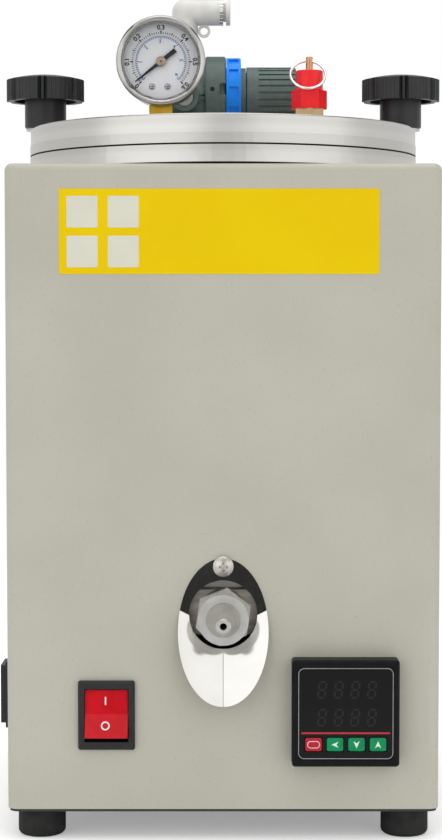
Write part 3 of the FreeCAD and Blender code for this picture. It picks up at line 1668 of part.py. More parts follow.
# Power inlet and relay
def power_inlet():
    """A vertical appliance inlet on the left side: flange, collar, socket with cut corners."""
    inlet = body("power_inlet", "-(housing_width / 2)", "front_y + inlet_setback", "inlet_height", LEFT)
    pad(inlet, rounded(sketch(inlet), "inlet_tall", "inlet_wide", "1.5"), "inlet_flange")
    collar = rounded(sketch(inlet), "inlet_body_tall", "inlet_body_wide", "1.5")
    pad(inlet, collar, "inlet_flange + inlet_collar")
    rear = rectangle(sketch(inlet), "inlet_body_tall", "inlet_body_wide")
    pad(inlet, rear, "inlet_body_depth", back=True)
    socket = sketch(inlet, offset="inlet_flange + inlet_collar")
    half_tall, half_wide = "socket_tall / 2", "socket_wide / 2"
    outline(
        socket,
        [
            (f"-({half_tall})", f"-({half_wide})"),
            (half_tall, f"-({half_wide})"),
            (half_tall, f"{half_wide} - socket_corner"),
            (f"{half_tall} - socket_corner", half_wide),
            (f"-({half_tall}) + socket_corner", half_wide),
            (f"-({half_tall})", f"{half_wide} - socket_corner"),
        ],
    )
    cut(inlet, socket, "socket_depth")


def inlet_pins():
    """Three blades standing on the socket's floor."""
    pins = body("inlet_pins", "-(housing_width / 2)", "front_y + inlet_setback", "inlet_height", LEFT)
    floor = "inlet_flange + inlet_collar - socket_depth"
    feet = sketch(pins, offset=floor)
    rectangle(feet, "pin_thickness", "pin_width", "-(pin_spread)", "-(pin_offset)")
    rectangle(feet, "pin_thickness", "pin_width", "pin_spread", "-(pin_offset)")
    rectangle(feet, "pin_thickness", "pin_width", "0", "pin_offset")
    pad(pins, feet, "socket_depth - pin_recess")


def solid_state_relay():
    """The relay on the base plate: a block with four terminal posts."""
    relay = body("solid_state_relay", "0", "pot_y + relay_y", "foot_height + base_thickness")
    pad(relay, rectangle(sketch(relay), "relay_length", "relay_width"), "relay_height")
    chamfer(relay, "2 * lid_chamfer", at_level(value("relay_height")))
    posts = sketch(relay)
    for across, along_y in corner_signs:
        circle(
            posts,
            "relay_terminal / 2",
            f"{across} * (relay_length / 2 - relay_terminal)",
            f"{along_y} * (relay_width / 2 - relay_terminal)",
        )
    pad(relay, posts, "relay_height + relay_terminal / 3")


# Build order
housing_shell()
rear_panel()
rear_panel_screws()
base_plate()
for (across, along_y), name in zip(corner_signs, ("front_left", "front_right", "rear_left", "rear_right")):
    foot(f"foot_{name}", across, along_y)
foot_screws()
wax_pot()
seals()
band_heater()
insulation_jacket()
temperature_probe()
lid()
clamp("left", -1)
clamp("right", 1)
gauge_case()
gauge_bezel()
gauge_dial()
gauge_lens()
gauge_stem()
gauge_pointer()
regulator_body()
regulator_plug()
regulator_bonnet()
regulator_lock_ring()
regulator_spindle()
regulator_knob()
regulator_nipple()
elbow_stem()
elbow_body()
release_collar()
safety_valve_base()
safety_valve_cap()
safety_valve_stem()
safety_valve_ring()
valve_block()
nozzle_body()
nozzle_tip()
nozzle_seal()
nozzle_spring()
drip_plate()
drip_plate_screw()
switch_frame()
switch_rocker()
controller_case()
controller_front()
for key_name, key_place in key_places.items():
    controller_key(key_name, key_place)
power_inlet()
inlet_pins()
solid_state_relay()

# Checks, then one file for each sub-part
doc.recompute()
for item in doc.Objects:
    if {"Invalid", "Error"} & set(item.State):
        raise RuntimeError(f"{item.Name} failed: {item.State}")
os.makedirs("parts", exist_ok=True)
for item in sub_parts:
    if item.Shape.isNull() or not item.Shape.isValid():
        raise RuntimeError(f"{item.Label} has no valid shape")
    item.Shape.exportStep(f"parts/{item.Label}.step")
print(len(sub_parts), "sub-parts written")
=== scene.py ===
# Bench wax injector: finishes, printed details and a studio round the CAD frame
import json
import math

import bmesh
import bpy
from mathutils import Matrix, Vector


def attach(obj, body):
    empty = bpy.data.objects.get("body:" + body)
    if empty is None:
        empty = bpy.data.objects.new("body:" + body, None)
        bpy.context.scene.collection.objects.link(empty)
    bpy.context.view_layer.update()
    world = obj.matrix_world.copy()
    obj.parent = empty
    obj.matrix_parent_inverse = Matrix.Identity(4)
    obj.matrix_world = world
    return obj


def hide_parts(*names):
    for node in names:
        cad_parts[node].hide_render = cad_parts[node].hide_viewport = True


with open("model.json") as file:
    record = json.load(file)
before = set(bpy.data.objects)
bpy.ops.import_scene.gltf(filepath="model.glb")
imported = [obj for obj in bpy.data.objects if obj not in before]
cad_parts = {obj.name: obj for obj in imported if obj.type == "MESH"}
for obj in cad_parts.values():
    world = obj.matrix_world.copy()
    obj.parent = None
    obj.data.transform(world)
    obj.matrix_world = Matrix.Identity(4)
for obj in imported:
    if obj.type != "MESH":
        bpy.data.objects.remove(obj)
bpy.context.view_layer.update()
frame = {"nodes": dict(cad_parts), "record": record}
nodes = frame["nodes"]
print("frame loaded:", len(nodes), "nodes")

mm = 0.001

# Places shared by several pieces, in millimetres: x to the right, y to the back, z up
place = {
    "potY": 17.4,
    "frontY": -80.1,
    "clampX": 87.0,
    "gaugeX": -29.4,
    "gaugeZ": 356.6,
    "airY": 42.4,
    "nozzleZ": 103.0,
}


# Small tools
def hexColour(code):
    # sRGB hex to the linear values that the shaders use
    parts = [int(code[i : i + 2], 16) / 255 for i in (1, 3, 5)]
    linear = [p / 12.92 if p <= 0.04045 else ((p + 0.055) / 1.055) ** 2.4 for p in parts]
    return (*linear, 1)


def addNode(tree, kind, values=None, links=None, **settings):
    node = tree.nodes.new(kind)
    for key, setting in settings.items():
        setattr(node, key, setting)
    for key, number in (values or {}).items():
        node.inputs[key].default_value = number
    for key, socket in (links or {}).items():
        tree.links.new(socket, node.inputs[key])
    return node


def sceneObject(name, data):
    thing = bpy.data.objects.new(name, data)
    bpy.context.scene.collection.objects.link(thing)
    return thing


def finalMesh(holder):
    # The holder's shape with its modifiers on, as a plain mesh; the holder goes away
    bpy.context.view_layer.update()
    shown = holder.evaluated_get(bpy.context.evaluated_depsgraph_get())
    mesh = bpy.data.meshes.new_from_object(shown)
    bpy.data.objects.remove(holder)
    return mesh


# Finishes. Lengths are real ones in millimetres: patch is the size of slow colour change,
# grain the size of the bump, and stretch draws the grain out along an axis for brushing.
brassBase = dict(patch=5, metal=1.0, rough=0.3, grain=0.5, bump=0.06)
turnedBase = dict(patch=7, metal=1.0, rough=0.32, grain=0.9, bump=0.1, turned=True)
keyBase = dict(patch=3, rough=0.4, grain=0.6, bump=0.05)
inkBase = dict(patch=2, rough=0.5, grain=0.4, bump=0.02)
finishes = {
    # light grey-green epoxy powder coat on sheet steel: soft orange peel, low sheen
    "powder coated steel": dict(
        colour="#bdbbae", second="#b7b5a7", patch=60, rough=0.5, grain=1.1, bump=0.16, speck=0.35
    ),
    # powder coat on the base plate, of which only the edge shows, coloured near black to paint the
    # shade under the housing's edge
    "painted shade plate steel": dict(
        colour="#2b2b2a", second="#323230", patch=20, rough=0.5, grain=1.1, bump=0.16
    ),
    # moulded EPDM rubber feet: dark, dull, slightly dusty
    "moulded rubber": dict(
        colour="#1d1d1d", second="#272726", patch=6, rough=0.7, grain=0.7, bump=0.2, glint=0.3
    ),
    # bright zinc plate on pressed steel screws
    "zinc plated steel": dict(
        colour="#c9c6bf", second="#aaa79f", patch=3, metal=1.0, rough=0.26, grain=0.4, bump=0.08
    ),
    # turned aluminium flange: bright, with fine tool lines round the axis
    "turned aluminium": dict(turnedBase, colour="#cfcecb", second="#bfbdb8"),
    # the lid's rim is darker below a level line
    "turned aluminium lid": dict(
        turnedBase, colour="#d3d2cf", second="#c3c1bc", step=(318.4, "#c1c0bb")
    ),
    # milled aluminium block: dull with level cutter lines
    "milled aluminium": dict(
        colour="#b3aca6", second="#8f8782", patch=1.4, metal=1.0, rough=0.42, grain=0.7, bump=0.25,
        stretch=(0.06, 1, 1)
    ),
    # pressed fibre ring under the flange: brown and quite dull
    "pressed fibre": dict(
        colour="#3a3026", second="#2a231c", patch=4, rough=0.85, grain=0.8, bump=0.3
    ),
    # moulded silicone gasket, coloured near black to paint the shade in the thin gap between lid
    # and flange: soft, matt
    "silicone darkened for gap shade": dict(
        colour="#101010", second="#161616", patch=5, rough=0.6, grain=0.8, bump=0.1, glint=0.15
    ),
    # rolled stainless band of the heater: straw tinted by heat, with rolling lines
    "heat tinted steel": dict(
        colour="#a59a86", second="#8a7a62", patch=12, metal=1.0, rough=0.38, grain=0.8, bump=0.1,
        stretch=(0.1, 0.1, 1)
    ),
    # felted glass wool: pale yellow, fibrous, no sheen
    "glass wool": dict(
        colour="#e0d6a8", second="#c9bd8c", patch=4, rough=0.95, grain=1.2, bump=0.8
    ),
    # machined brass, lightly oxidised: the gauge's stem is yellower, the relief valve's paler
    "machined brass": dict(brassBase, colour="#c19b58", second="#b48f4c"),
    "yellow brass": dict(brassBase, colour="#c39c38", second="#b68f2e"),
    "pale brass": dict(brassBase, colour="#ae956f", second="#a28963"),
    # phosphor bronze stem and dull bronze hub, redder than the brass
    "drawn bronze": dict(
        colour="#cd9a72", second="#bb8862", patch=3, metal=1.0, rough=0.28, grain=0.5, bump=0.06
    ),
    "dull bronze": dict(
        colour="#c2ab9a", second="#b19a89", patch=2, metal=0.6, rough=0.5, grain=0.5, bump=0.05
    ),
    # moulded black phenolic grip: hard, faintly glossy
    "moulded phenolic": dict(
        colour="#232425", second="#292a2b", patch=5, rough=0.4, grain=0.6, bump=0.08, glint=0.35
    ),
    # turned stainless steel case and plugs: satin rings
    "turned stainless steel": dict(
        colour="#cfccc6", second="#c0bdb6", patch=4, metal=1.0, rough=0.36, grain=0.6, bump=0.06
    ),
    # bead-blasted stainless steel of the nozzle: even, without highlights
    "satin stainless steel": dict(
        colour="#c9c8c5", second="#bebdb9", patch=5, metal=1.0, rough=0.45, grain=0.5, bump=0.05
    ),
    # mirror polished stainless wire and ring
    "polished stainless steel": dict(
        colour="#f0eeea", second="#e9e6e1", patch=20, metal=1.0, rough=0.07, grain=2.5, bump=0.01
    ),
    # chromed ring of the gauge: a darker mirror than the steel
    "chromed brass": dict(
        colour="#b9b8b5", second="#b1b0ac", patch=8, metal=1.0, rough=0.1, grain=2.5, bump=0.01
    ),
    # bright annealed sheet of the drip plate, and a darker steel for the strip that paints the
    # shade along its fold
    "bright stainless sheet": dict(
        colour="#dad9d4", second="#d4d2cd", patch=20, metal=1.0, rough=0.09, grain=2.5, bump=0.01
    ),
    "painted crease shade steel": dict(
        colour="#c9c7c1", second="#c0beb8", patch=3, metal=0.3, rough=0.5, grain=0.6, bump=0.05
    ),
    # gauge dial: near white lacquer on aluminium, which the shade of the case turns grey
    "lacquered dial": dict(
        colour="#fafbfe", second="#f2f3f8", patch=18, rough=0.4, grain=0.5, bump=0.02
    ),
    # gauge window: clear polycarbonate, thin enough to show as a faint gloss only
    "clear polycarbonate": dict(
        colour="#101214", second="#101214", patch=20, rough=0.05, grain=3, bump=0.004, clear=0.06
    ),
    # screen printed inks: flat and even, with a slightly duller face than the plastic
    "black ink": dict(inkBase, colour="#15161a", second="#1c1d22"),
    "blue ink": dict(inkBase, colour="#3b7fb8", second="#4586bd"),
    "navy ink": dict(inkBase, colour="#2b4f80", second="#315789"),
    "white ink": dict(inkBase, colour="#eeeeec", second="#e2e2e0"),
    "grey ink": dict(inkBase, colour="#a3a5a6", second="#8f9192"),
    "pale ink": dict(inkBase, colour="#e9ebee", second="#dfe2e6"),
    "red ink": dict(
        colour="#c32433", second="#b61e2c", patch=3, rough=0.4, grain=0.5, bump=0.02
    ),
    # die-cast zinc regulator with dark green-grey satin lacquer
    "lacquered casting": dict(
        colour="#5d706b", second="#556762", patch=5, rough=0.34, grain=0.9, bump=0.08
    ),
    # glass-filled nylon of the same colour: duller, with a fine spark-eroded grain
    "glass filled nylon": dict(
        colour="#5c6c68", second="#53635e", patch=4, rough=0.46, grain=0.6, bump=0.18
    ),
    # bright blue acetal ring: waxy gloss
    "blue acetal": dict(
        colour="#0f92ff", second="#0c89f6", patch=5, rough=0.3, grain=0.8, bump=0.04, glint=0.3
    ),
    # pale grey PBT fitting: satin, lets a little light through
    "moulded PBT": dict(
        colour="#e2e1de", second="#d8d7d3", patch=6, rough=0.34, grain=0.8, bump=0.04, waxy=0.25
    ),
    # red nylon cap, slightly see-through at its edges
    "red nylon": dict(
        colour="#fb2028", second="#f01a22", patch=4, rough=0.34, grain=0.7, bump=0.06, waxy=0.15,
        glint=0.35
    ),
    # black ABS frame of the switch: satin
    "satin ABS": dict(
        colour="#28292a", second="#232425", patch=4, rough=0.45, grain=0.5, bump=0.12, glint=0.3
    ),
    # red polycarbonate rocker: clear tint over a lamp space, glossy
    "tinted polycarbonate": dict(
        colour="#d10a1e", second="#c10819", patch=7, rough=0.16, grain=2, bump=0.03, waxy=0.2,
        glint=0.35
    ),
    # black ABS case of the controller: spark-eroded, nearly without gloss
    "moulded ABS": dict(
        colour="#0f1010", second="#151616", patch=6, rough=0.42, grain=0.6, bump=0.12, glint=0.12
    ),
    # smoked polyester front film: nearly black, smooth
    "smoked film": dict(
        colour="#0d0d0e", second="#101011", patch=10, rough=0.3, grain=2, bump=0.01, glint=0.2
    ),
    # unlit red segments behind the film: just lighter than it
    "unlit segment": dict(
        colour="#262220", second="#282421", patch=2, rough=0.4, grain=0.6, bump=0.02, glint=0.2
    ),
    # moulded silicone keys: strong colour, soft sheen
    "red silicone key": dict(keyBase, colour="#bc1a33", second="#b0162d", glint=0.3),
    "green silicone key": dict(keyBase, colour="#04925a", second="#038753", glint=0.2),
    # calendered yellow vinyl decal with pale printed squares: flat, slightly waved
    "yellow vinyl": dict(
        colour="#edcb00", second="#e9c600", patch=40, rough=0.5, grain=1.5, bump=0.03, glint=0.1
    ),
    "pale vinyl": dict(
        colour="#dedccb", second="#d8d6c4", patch=20, rough=0.5, grain=1.5, bump=0.03, glint=0.2
    ),
    # black nylon inlet: dull, with the mould's grain
    "moulded nylon": dict(
        colour="#141415", second="#1a1a1b", patch=4, rough=0.45, grain=0.6, bump=0.12
    ),
}

# How each recipe's numbers become a surface
surface = {
    "patchEdges": (0.35, 0.65),  # where the slow noise goes from one colour to the other
    "polishSpread": 0.14,  # how far the roughness wanders, as a share of itself
    "reliefShare": 0.25,  # height of the bump, as a share of its grain
    "speckEdges": (0.62, 0.78),
    "speckColour": "#8f8d82",
    "stepBlur": 0.1,
    "plasticIor": 1.5,
    "plasticGlint": 0.5,
    "waxDepth": 2.0,
}


def turnedPlace(tree, spot):
    # Tool lines: the pattern follows only the distance from the pot's axis, and the height
    shift = {"Location": (0, -place["potY"] * mm, 0)}
    centred = addNode(tree, "ShaderNodeMapping", shift, {"Vector": spot}).outputs[0]
    apart = addNode(tree, "ShaderNodeSeparateXYZ", links={"Vector": centred}).outputs
    squares = {}
    for i, axis in enumerate("XY"):
        square = addNode(tree, "ShaderNodeMath", {1: 2}, {0: apart[axis]}, operation="POWER")
        squares[i] = square.outputs[0]
    total = addNode(tree, "ShaderNodeMath", links=squares, operation="ADD").outputs[0]
    reach = addNode(tree, "ShaderNodeMath", links={0: total}, operation="SQRT").outputs[0]
    return addNode(tree, "ShaderNodeCombineXYZ", links={"X": reach, "Z": apart["Z"]}).outputs[0]


def speckled(tree, colour, fine, amount):
    # A few darker grains in a powder coat
    low, high = surface["speckEdges"]
    edges = {"From Min": low, "From Max": high, "To Min": 0, "To Max": amount}
    few = addNode(tree, "ShaderNodeMapRange", edges, {"Value": fine}).outputs[0]
    dark = {"Color2": hexColour(surface["speckColour"])}
    mixed = addNode(tree, "ShaderNodeMixRGB", dark, {"Color1": colour, "Fac": few})
    return mixed.outputs["Color"]


def darkerBelowLevel(tree, colour, spot, step):
    # Below the step's height the colour is a darker one
    level, lower = step
    upright = addNode(tree, "ShaderNodeSeparateXYZ", links={"Vector": spot}).outputs["Z"]
    blur = surface["stepBlur"]
    edges = {"From Min": (level - blur) * mm, "From Max": (level + blur) * mm}
    above = addNode(tree, "ShaderNodeMapRange", edges, {"Value": upright}).outputs[0]
    dull = {"Color1": hexColour(lower)}
    mixed = addNode(tree, "ShaderNodeMixRGB", dull, {"Fac": above, "Color2": colour})
    return mixed.outputs["Color"]


def makeFinish(name):
    # Builds the node tree of one finish and keeps it for the next piece that asks for it
    if name in bpy.data.materials:
        return bpy.data.materials[name]
    recipe = finishes[name]
    material = bpy.data.materials.new(name)
    material.use_nodes = True
    tree = material.node_tree
    tree.nodes.clear()
    spot = addNode(tree, "ShaderNodeTexCoord").outputs["Object"]
    drawn = turnedPlace(tree, spot) if recipe.get("turned") else spot
    if recipe.get("stretch"):
        stretch = {"Scale": recipe["stretch"]}
        drawn = addNode(tree, "ShaderNodeMapping", stretch, {"Vector": drawn}).outputs[0]
    noises = {}
    for size, detail in (("patch", 3), ("grain", 2)):
        values = {"Scale": 1 / (recipe[size] * mm), "Detail": detail}
        noise = addNode(tree, "ShaderNodeTexNoise", values, {"Vector": drawn})
        noises[size] = noise.outputs["Fac"]
    shade = addNode(tree, "ShaderNodeValToRGB", links={"Fac": noises["patch"]})
    tones = ("second", "colour")
    for stop, edge, tone in zip(shade.color_ramp.elements, surface["patchEdges"], tones):
        stop.position = edge
        stop.color = hexColour(recipe[tone])
    colour = shade.outputs["Color"]
    if recipe.get("speck"):
        colour = speckled(tree, colour, noises["grain"], recipe["speck"])
    if recipe.get("step"):
        colour = darkerBelowLevel(tree, colour, spot, recipe["step"])
    rough, spread = recipe["rough"], surface["polishSpread"]
    span = {"To Min": rough * (1 - spread), "To Max": rough * (1 + spread)}
    polish = addNode(tree, "ShaderNodeMapRange", span, {"Value": noises["patch"]})
    depth = recipe["grain"] * mm * surface["reliefShare"]
    bump = {"Strength": recipe["bump"], "Distance": depth}
    relief = addNode(tree, "ShaderNodeBump", bump, {"Height": noises["grain"]})
    values = {"Metallic": recipe.get("metal", 0.0), "Alpha": recipe.get("clear", 1.0)}
    if not recipe.get("metal"):
        values["IOR"] = surface["plasticIor"]
        values["Specular IOR Level"] = recipe.get("glint", surface["plasticGlint"])
    if recipe.get("waxy"):
        values["Subsurface Weight"] = recipe["waxy"]
        values["Subsurface Scale"] = surface["waxDepth"] * mm
    links = {"Base Color": colour, "Roughness": polish.outputs[0], "Normal": relief.outputs[0]}
    shader = addNode(tree, "ShaderNodeBsdfPrincipled", values, links)
    addNode(tree, "ShaderNodeOutputMaterial", links={"Surface": shader.outputs[0]})
    return material


# Which finish each CAD node gets
nodeFinish = {
    "powder coated steel": ["housing_shell", "rear_panel"],
    # the base plate's near black paints the shade under the housing's edge
    "painted shade plate steel": ["base_plate"],
    "moulded rubber": ["foot_front_left", "foot_front_right", "foot_rear_left", "foot_rear_right"],
    "zinc plated steel": [
        "rear_panel_screws", "foot_screws", "clamp_washer_left", "clamp_washer_right",
        "clamp_stud_left", "clamp_stud_right",
    ],
    "turned aluminium": ["wax_pot"],
    "turned aluminium lid": ["lid"],
    "milled aluminium": ["valve_block"],
    "pressed fibre": ["seat_ring"],
    # the gasket's near black paints the shade in the gap between lid and flange
    "silicone darkened for gap shade": ["lid_gasket", "nozzle_seal"],
    "heat tinted steel": ["band_heater"],
    "glass wool": ["insulation_jacket"],
    "machined brass": ["temperature_probe", "regulator_nipple", "elbow_stem", "inlet_pins"],
    "yellow brass": ["gauge_stem"],
    "pale brass": ["safety_valve_base"],
    "moulded phenolic": ["clamp_knob_left", "clamp_knob_right"],
    "turned stainless steel": [
        "gauge_case", "regulator_plug", "regulator_spindle", "nozzle_spring", "drip_plate_screw",
    ],
    "satin stainless steel": ["nozzle_body", "nozzle_tip"],
    "drawn bronze": ["safety_valve_stem"],
    "polished stainless steel": ["safety_valve_ring"],
    "chromed brass": ["gauge_bezel"],
    "bright stainless sheet": ["drip_plate"],
    "lacquered dial": ["gauge_dial"],
    "clear polycarbonate": ["gauge_lens"],
    "black ink": ["gauge_pointer"],
    "lacquered casting": ["regulator_body"],
    "glass filled nylon": ["regulator_bonnet", "regulator_knob"],
    "blue acetal": ["regulator_lock_ring"],
    "moulded PBT": ["elbow_body", "release_collar", "solid_state_relay"],
    "red nylon": ["safety_valve_cap"],
    "satin ABS": ["switch_frame"],
    "tinted polycarbonate": ["switch_rocker"],
    "moulded ABS": ["controller_case"],
    "smoked film": ["controller_front"],
    "red silicone key": ["key_set"],
    "green silicone key": ["key_left", "key_down", "key_up"],
    "moulded nylon": ["power_inlet"],
}
for finish, names in nodeFinish.items():
    for name in names:
        node = nodes[name]
        node.data.materials.clear()
        node.data.materials.append(makeFinish(finish))
print("finishes given to the frame's nodes")


# Making pieces
def newPiece(name, mesh, finish, body):
    piece = sceneObject(name, mesh)
    if finish:
        mesh.materials.clear()
        mesh.materials.append(makeFinish(finish))
    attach(piece, body)
    return piece


def meshOf(name, points, faces, outwards=False):
    # Points in millimetres; outwards is for a closed shape whose faces may point either way
    mesh = bpy.data.meshes.new(name)
    mesh.from_pydata([Vector(p) * mm for p in points], [], faces)
    if outwards:
        shape = bmesh.new()
        shape.from_mesh(mesh)
        bmesh.ops.recalc_face_normals(shape, faces=shape.faces)
        shape.to_mesh(mesh)
        shape.free()
    mesh.update()
    mesh.shade_flat()
    return mesh


def wall(first, second, count, closed=True):
    # Four-sided faces between two rows of points, given by where each row starts
    pairs = [(i, (i + 1) % count) for i in range(count if closed else count - 1)]
    return [[first + i, first + j, second + j, second + i] for i, j in pairs]


def ringRow(spot, reaches, across=(1, 0, 0)):
    # Points round an upright circle, one for each reach; across is its level direction
    row = []
    for i, reach in enumerate(reaches):
        angle = 2 * math.pi * i / len(reaches)
        level, rise = reach * math.cos(angle), reach * math.sin(angle)
        row.append(Vector(spot) + Vector(across) * level + Vector((0, 0, rise)))
    return row


def barOutline(left, right, low, high):
    return [(left, low), (right, low), (right, high), (left, high)]


def roundedOutline(x, z, width, tall, radius, steps=6):
    outline = []
    for cornerX, cornerZ, start in ((1, -1, -90), (1, 1, 0), (-1, 1, 90), (-1, -1, 180)):
        centreX = x + cornerX * (width / 2 - radius)
        centreZ = z + cornerZ * (tall / 2 - radius)
        for step in range(steps + 1):
            angle = math.radians(start + 90 * step / steps)
            outline.append((centreX + radius * math.cos(angle), centreZ + radius * math.sin(angle)))
    return outline


def frontSheet(name, outlines, y, thickness):
    # Flat printed shapes facing the front: each outline is a list of (x, z), anticlockwise
    points, faces = [], []
    for outline in outlines:
        first, count = len(points), len(outline)
        points += [(x, y - thickness, z) for x, z in outline]
        points += [(x, y, z) for x, z in outline]
        faces.append(list(range(first, first + count)))
        faces.append(list(range(first + count, first + 2 * count))[::-1])
        faces += wall(first + count, first, count)
    return meshOf(name, points, faces)


def ringStrip(name, outer, inner, y, thickness):
    # A flat printed frame between two outlines with the same number of points
    rows = [(outline, level) for level in (y - thickness, y) for outline in (outer, inner)]
    points = [(x, level, z) for outline, level in rows for x, z in outline]
    count = len(outer)
    faces = []
    for first, second in ((0, 1), (3, 2), (2, 0), (1, 3)):
        faces += wall(first * count, second * count, count)
    return meshOf(name, points, faces)


figureInk = {"thickness": 0.02, "weight": 0.03}


def frontText(name, words, x, z, y, size, turn):
    # Digits as a thin mesh that faces the front
    curve = bpy.data.curves.new(name, "FONT")
    curve.body = words
    curve.size = size * mm
    curve.align_x = "CENTER"
    curve.align_y = "CENTER"
    curve.extrude = figureInk["thickness"] * mm
    curve.offset = size * figureInk["weight"] * mm
    mesh = finalMesh(sceneObject(name + "Text", curve))
    upright = Matrix.Rotation(math.radians(90), 4, "X")
    tilt = Matrix.Rotation(math.radians(turn), 4, "Y")
    mesh.transform(Matrix.Translation(Vector((x, y, z)) * mm) @ tilt @ upright)
    return mesh


def geometryTree(name, inputs):
    # An empty Geometry Nodes tree with named inputs
    tree = bpy.data.node_groups.new(name, "GeometryNodeTree")
    for label, kind in {"Geometry": "NodeSocketGeometry", **inputs}.items():
        tree.interface.new_socket(label, in_out="INPUT", socket_type=kind)
    tree.interface.new_socket("Geometry", in_out="OUTPUT", socket_type="NodeSocketGeometry")
    return tree


def growPiece(name, tree, inputs, seed, body):
    # Runs a tree on a seed mesh and keeps the result as a plain piece
    holder = sceneObject(name + "Seed", seed)
    modifier = holder.modifiers.new(name, "NODES")
    modifier.node_group = tree
    for socket in tree.interface.items_tree:
        if socket.in_out == "INPUT" and socket.name in inputs:
            modifier[socket.identifier] = inputs[socket.name]
    grown = finalMesh(holder)
    grown.name = name
    return newPiece(name, grown, None, body)


# Turned and moulded nodes, drawn again with smooth shading between their real edges: an
# edge stays sharp where its faces turn by more than the angle, in degrees
softEdges = {
    20: [
        "lid", "wax_pot", "lid_gasket", "gauge_case", "gauge_bezel", "gauge_pointer",
        "regulator_body", "regulator_bonnet", "regulator_plug", "elbow_body", "release_collar",
        "safety_valve_base", "safety_valve_cap", "safety_valve_stem", "safety_valve_ring",
        "clamp_knob_left", "clamp_knob_right", "clamp_stud_left", "clamp_stud_right",
        "drip_plate_screw", "housing_shell", "foot_front_left", "foot_front_right",
        "foot_rear_left", "foot_rear_right",
    ],
    10: [
        "nozzle_body", "nozzle_tip", "regulator_lock_ring", "regulator_knob", "switch_rocker",
        "switch_frame",
    ],
    4: ["drip_plate", "controller_case"],
}
copying = {"merge": 0.002, "flatWeight": 90}

# The tube cut off round the nozzle's hexagon, as (radius, y) round its section: a straight
# nose, then a coned shoulder back to the corners
noseCut = [(11.2, -101.0), (11.2, -93.5), (13.0, -89.0), (14.5, -89.0), (14.5, -101.0)]
noseSteps = 96

# The regulator's far end stops behind the gauge's stem
regulatorEnd = {"from": -37.0, "in": 2.4}


def roundNose(mesh):
    # The nozzle's hexagon is turned down to a round nose in front
    points, faces = [], []
    for i, (radius, y) in enumerate(noseCut):
        points += ringRow((0, y, place["nozzleZ"]), [radius] * noseSteps)
        following = (i + 1) % len(noseCut)
        faces += wall(i * noseSteps, following * noseSteps, noseSteps)
    cutter = sceneObject("noseTube", meshOf("noseTube", points, faces, outwards=True))
    holder = sceneObject("noseSeed", mesh)
    cut = holder.modifiers.new("cut", "BOOLEAN")
    cut.operation = "DIFFERENCE"
    cut.solver = "EXACT"
    cut.object = cutter
    turned = finalMesh(holder)
    bpy.data.objects.remove(cutter)
    return turned


def mergedCopy(name):
    # A node's mesh is loose triangles, so a copy of it is merged and the node left alone
    mesh = nodes[name].data.copy()
    shape = bmesh.new()
    shape.from_mesh(mesh)
    bmesh.ops.remove_doubles(shape, verts=shape.verts, dist=copying["merge"] * mm)
    if name == "regulator_body":
        for vertex in shape.verts:
            if vertex.co.x < regulatorEnd["from"] * mm:
                vertex.co.x += regulatorEnd["in"] * mm
    shape.to_mesh(mesh)
    shape.free()
    return roundNose(mesh) if name == "nozzle_body" else mesh


def smoothCopies():
    record = frame["record"]
    bodies = record["behaviour"]["bodies"]
    bodyOf = {node: body for body, group in bodies.items() for node in group}
    for angle, names in softEdges.items():
        for name in names:
            mesh = mergedCopy(name)
            mesh.shade_smooth()
            mesh.set_sharp_from_angle(angle=math.radians(angle))
            holder = sceneObject(name + "Seed", mesh)
            # large faces rule the shading, so a flat wall stays flat beside its rounded edge
            even = holder.modifiers.new("even", "WEIGHTED_NORMAL")
            even.keep_sharp = True
            even.weight = copying["flatWeight"]
            shaded = finalMesh(holder)
            piece = newPiece(name + "_smooth", shaded, None, bodyOf[name])
            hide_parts(name)
    print("smooth copies made")


smoothCopies()

# Drip plate: a thin darker strip paints the shade of the fold down its middle, given as (y, z) at
# its ends
crease = {"top": (-83.23, 87.7), "bottom": (-90.78, 63.0), "width": 0.4, "lift": 0.04}


def plateCreaseShade():
    half = crease["width"] / 2
    points = []
    for y, z in (crease["top"], crease["bottom"]):
        points += [(x, y - crease["lift"], z) for x in (-half, half)]
    mesh = meshOf("plateCreaseShade", points, [[0, 2, 3, 1]])
    newPiece("plateCreaseShade", mesh, "painted crease shade steel", "injector")


plateCreaseShade()

# Gauge dial: two scales of ticks round the pointer, arcs, figures, two screws and the hub.
# Ticks reach inwards from their radius; turns are clockwise from the top, in degrees.
dial = {
    "y": -15.85,
    "sweep": 270,
    "inkDepth": 0.06,
    "longEvery": 10,
    "ticks": {
        "blackTicks": dict(Radius=14.0, Long=0.9, Short=0.9, Width=0.34, Count=61),
        "middleTicks": dict(Radius=14.5, Long=1.3, Short=1.3, Width=0.46, Count=13),
        "mainTicks": dict(Radius=14.6, Long=1.5, Short=1.5, Width=0.62, Count=7),
        "blueTicks": dict(Radius=12.1, Long=1.6, Short=1.0, Width=0.34, Count=61),
    },
    "tickInk": {"blueTicks": "navy ink"},
    "arcs": {"blueArc": (12.1, 0.2, "blue ink"), "paleArc": (12.85, 0.4, "pale ink")},
    "arcSteps": 90,
    "arcLift": 0.04,
    "figures": {"reach": 16.0, "size": 3.0, "step": 45, "ink": "black ink"},
    "blueFigures": {"reach": 9.5, "size": 2.3, "step": 44.1, "ink": "blue ink"},
}


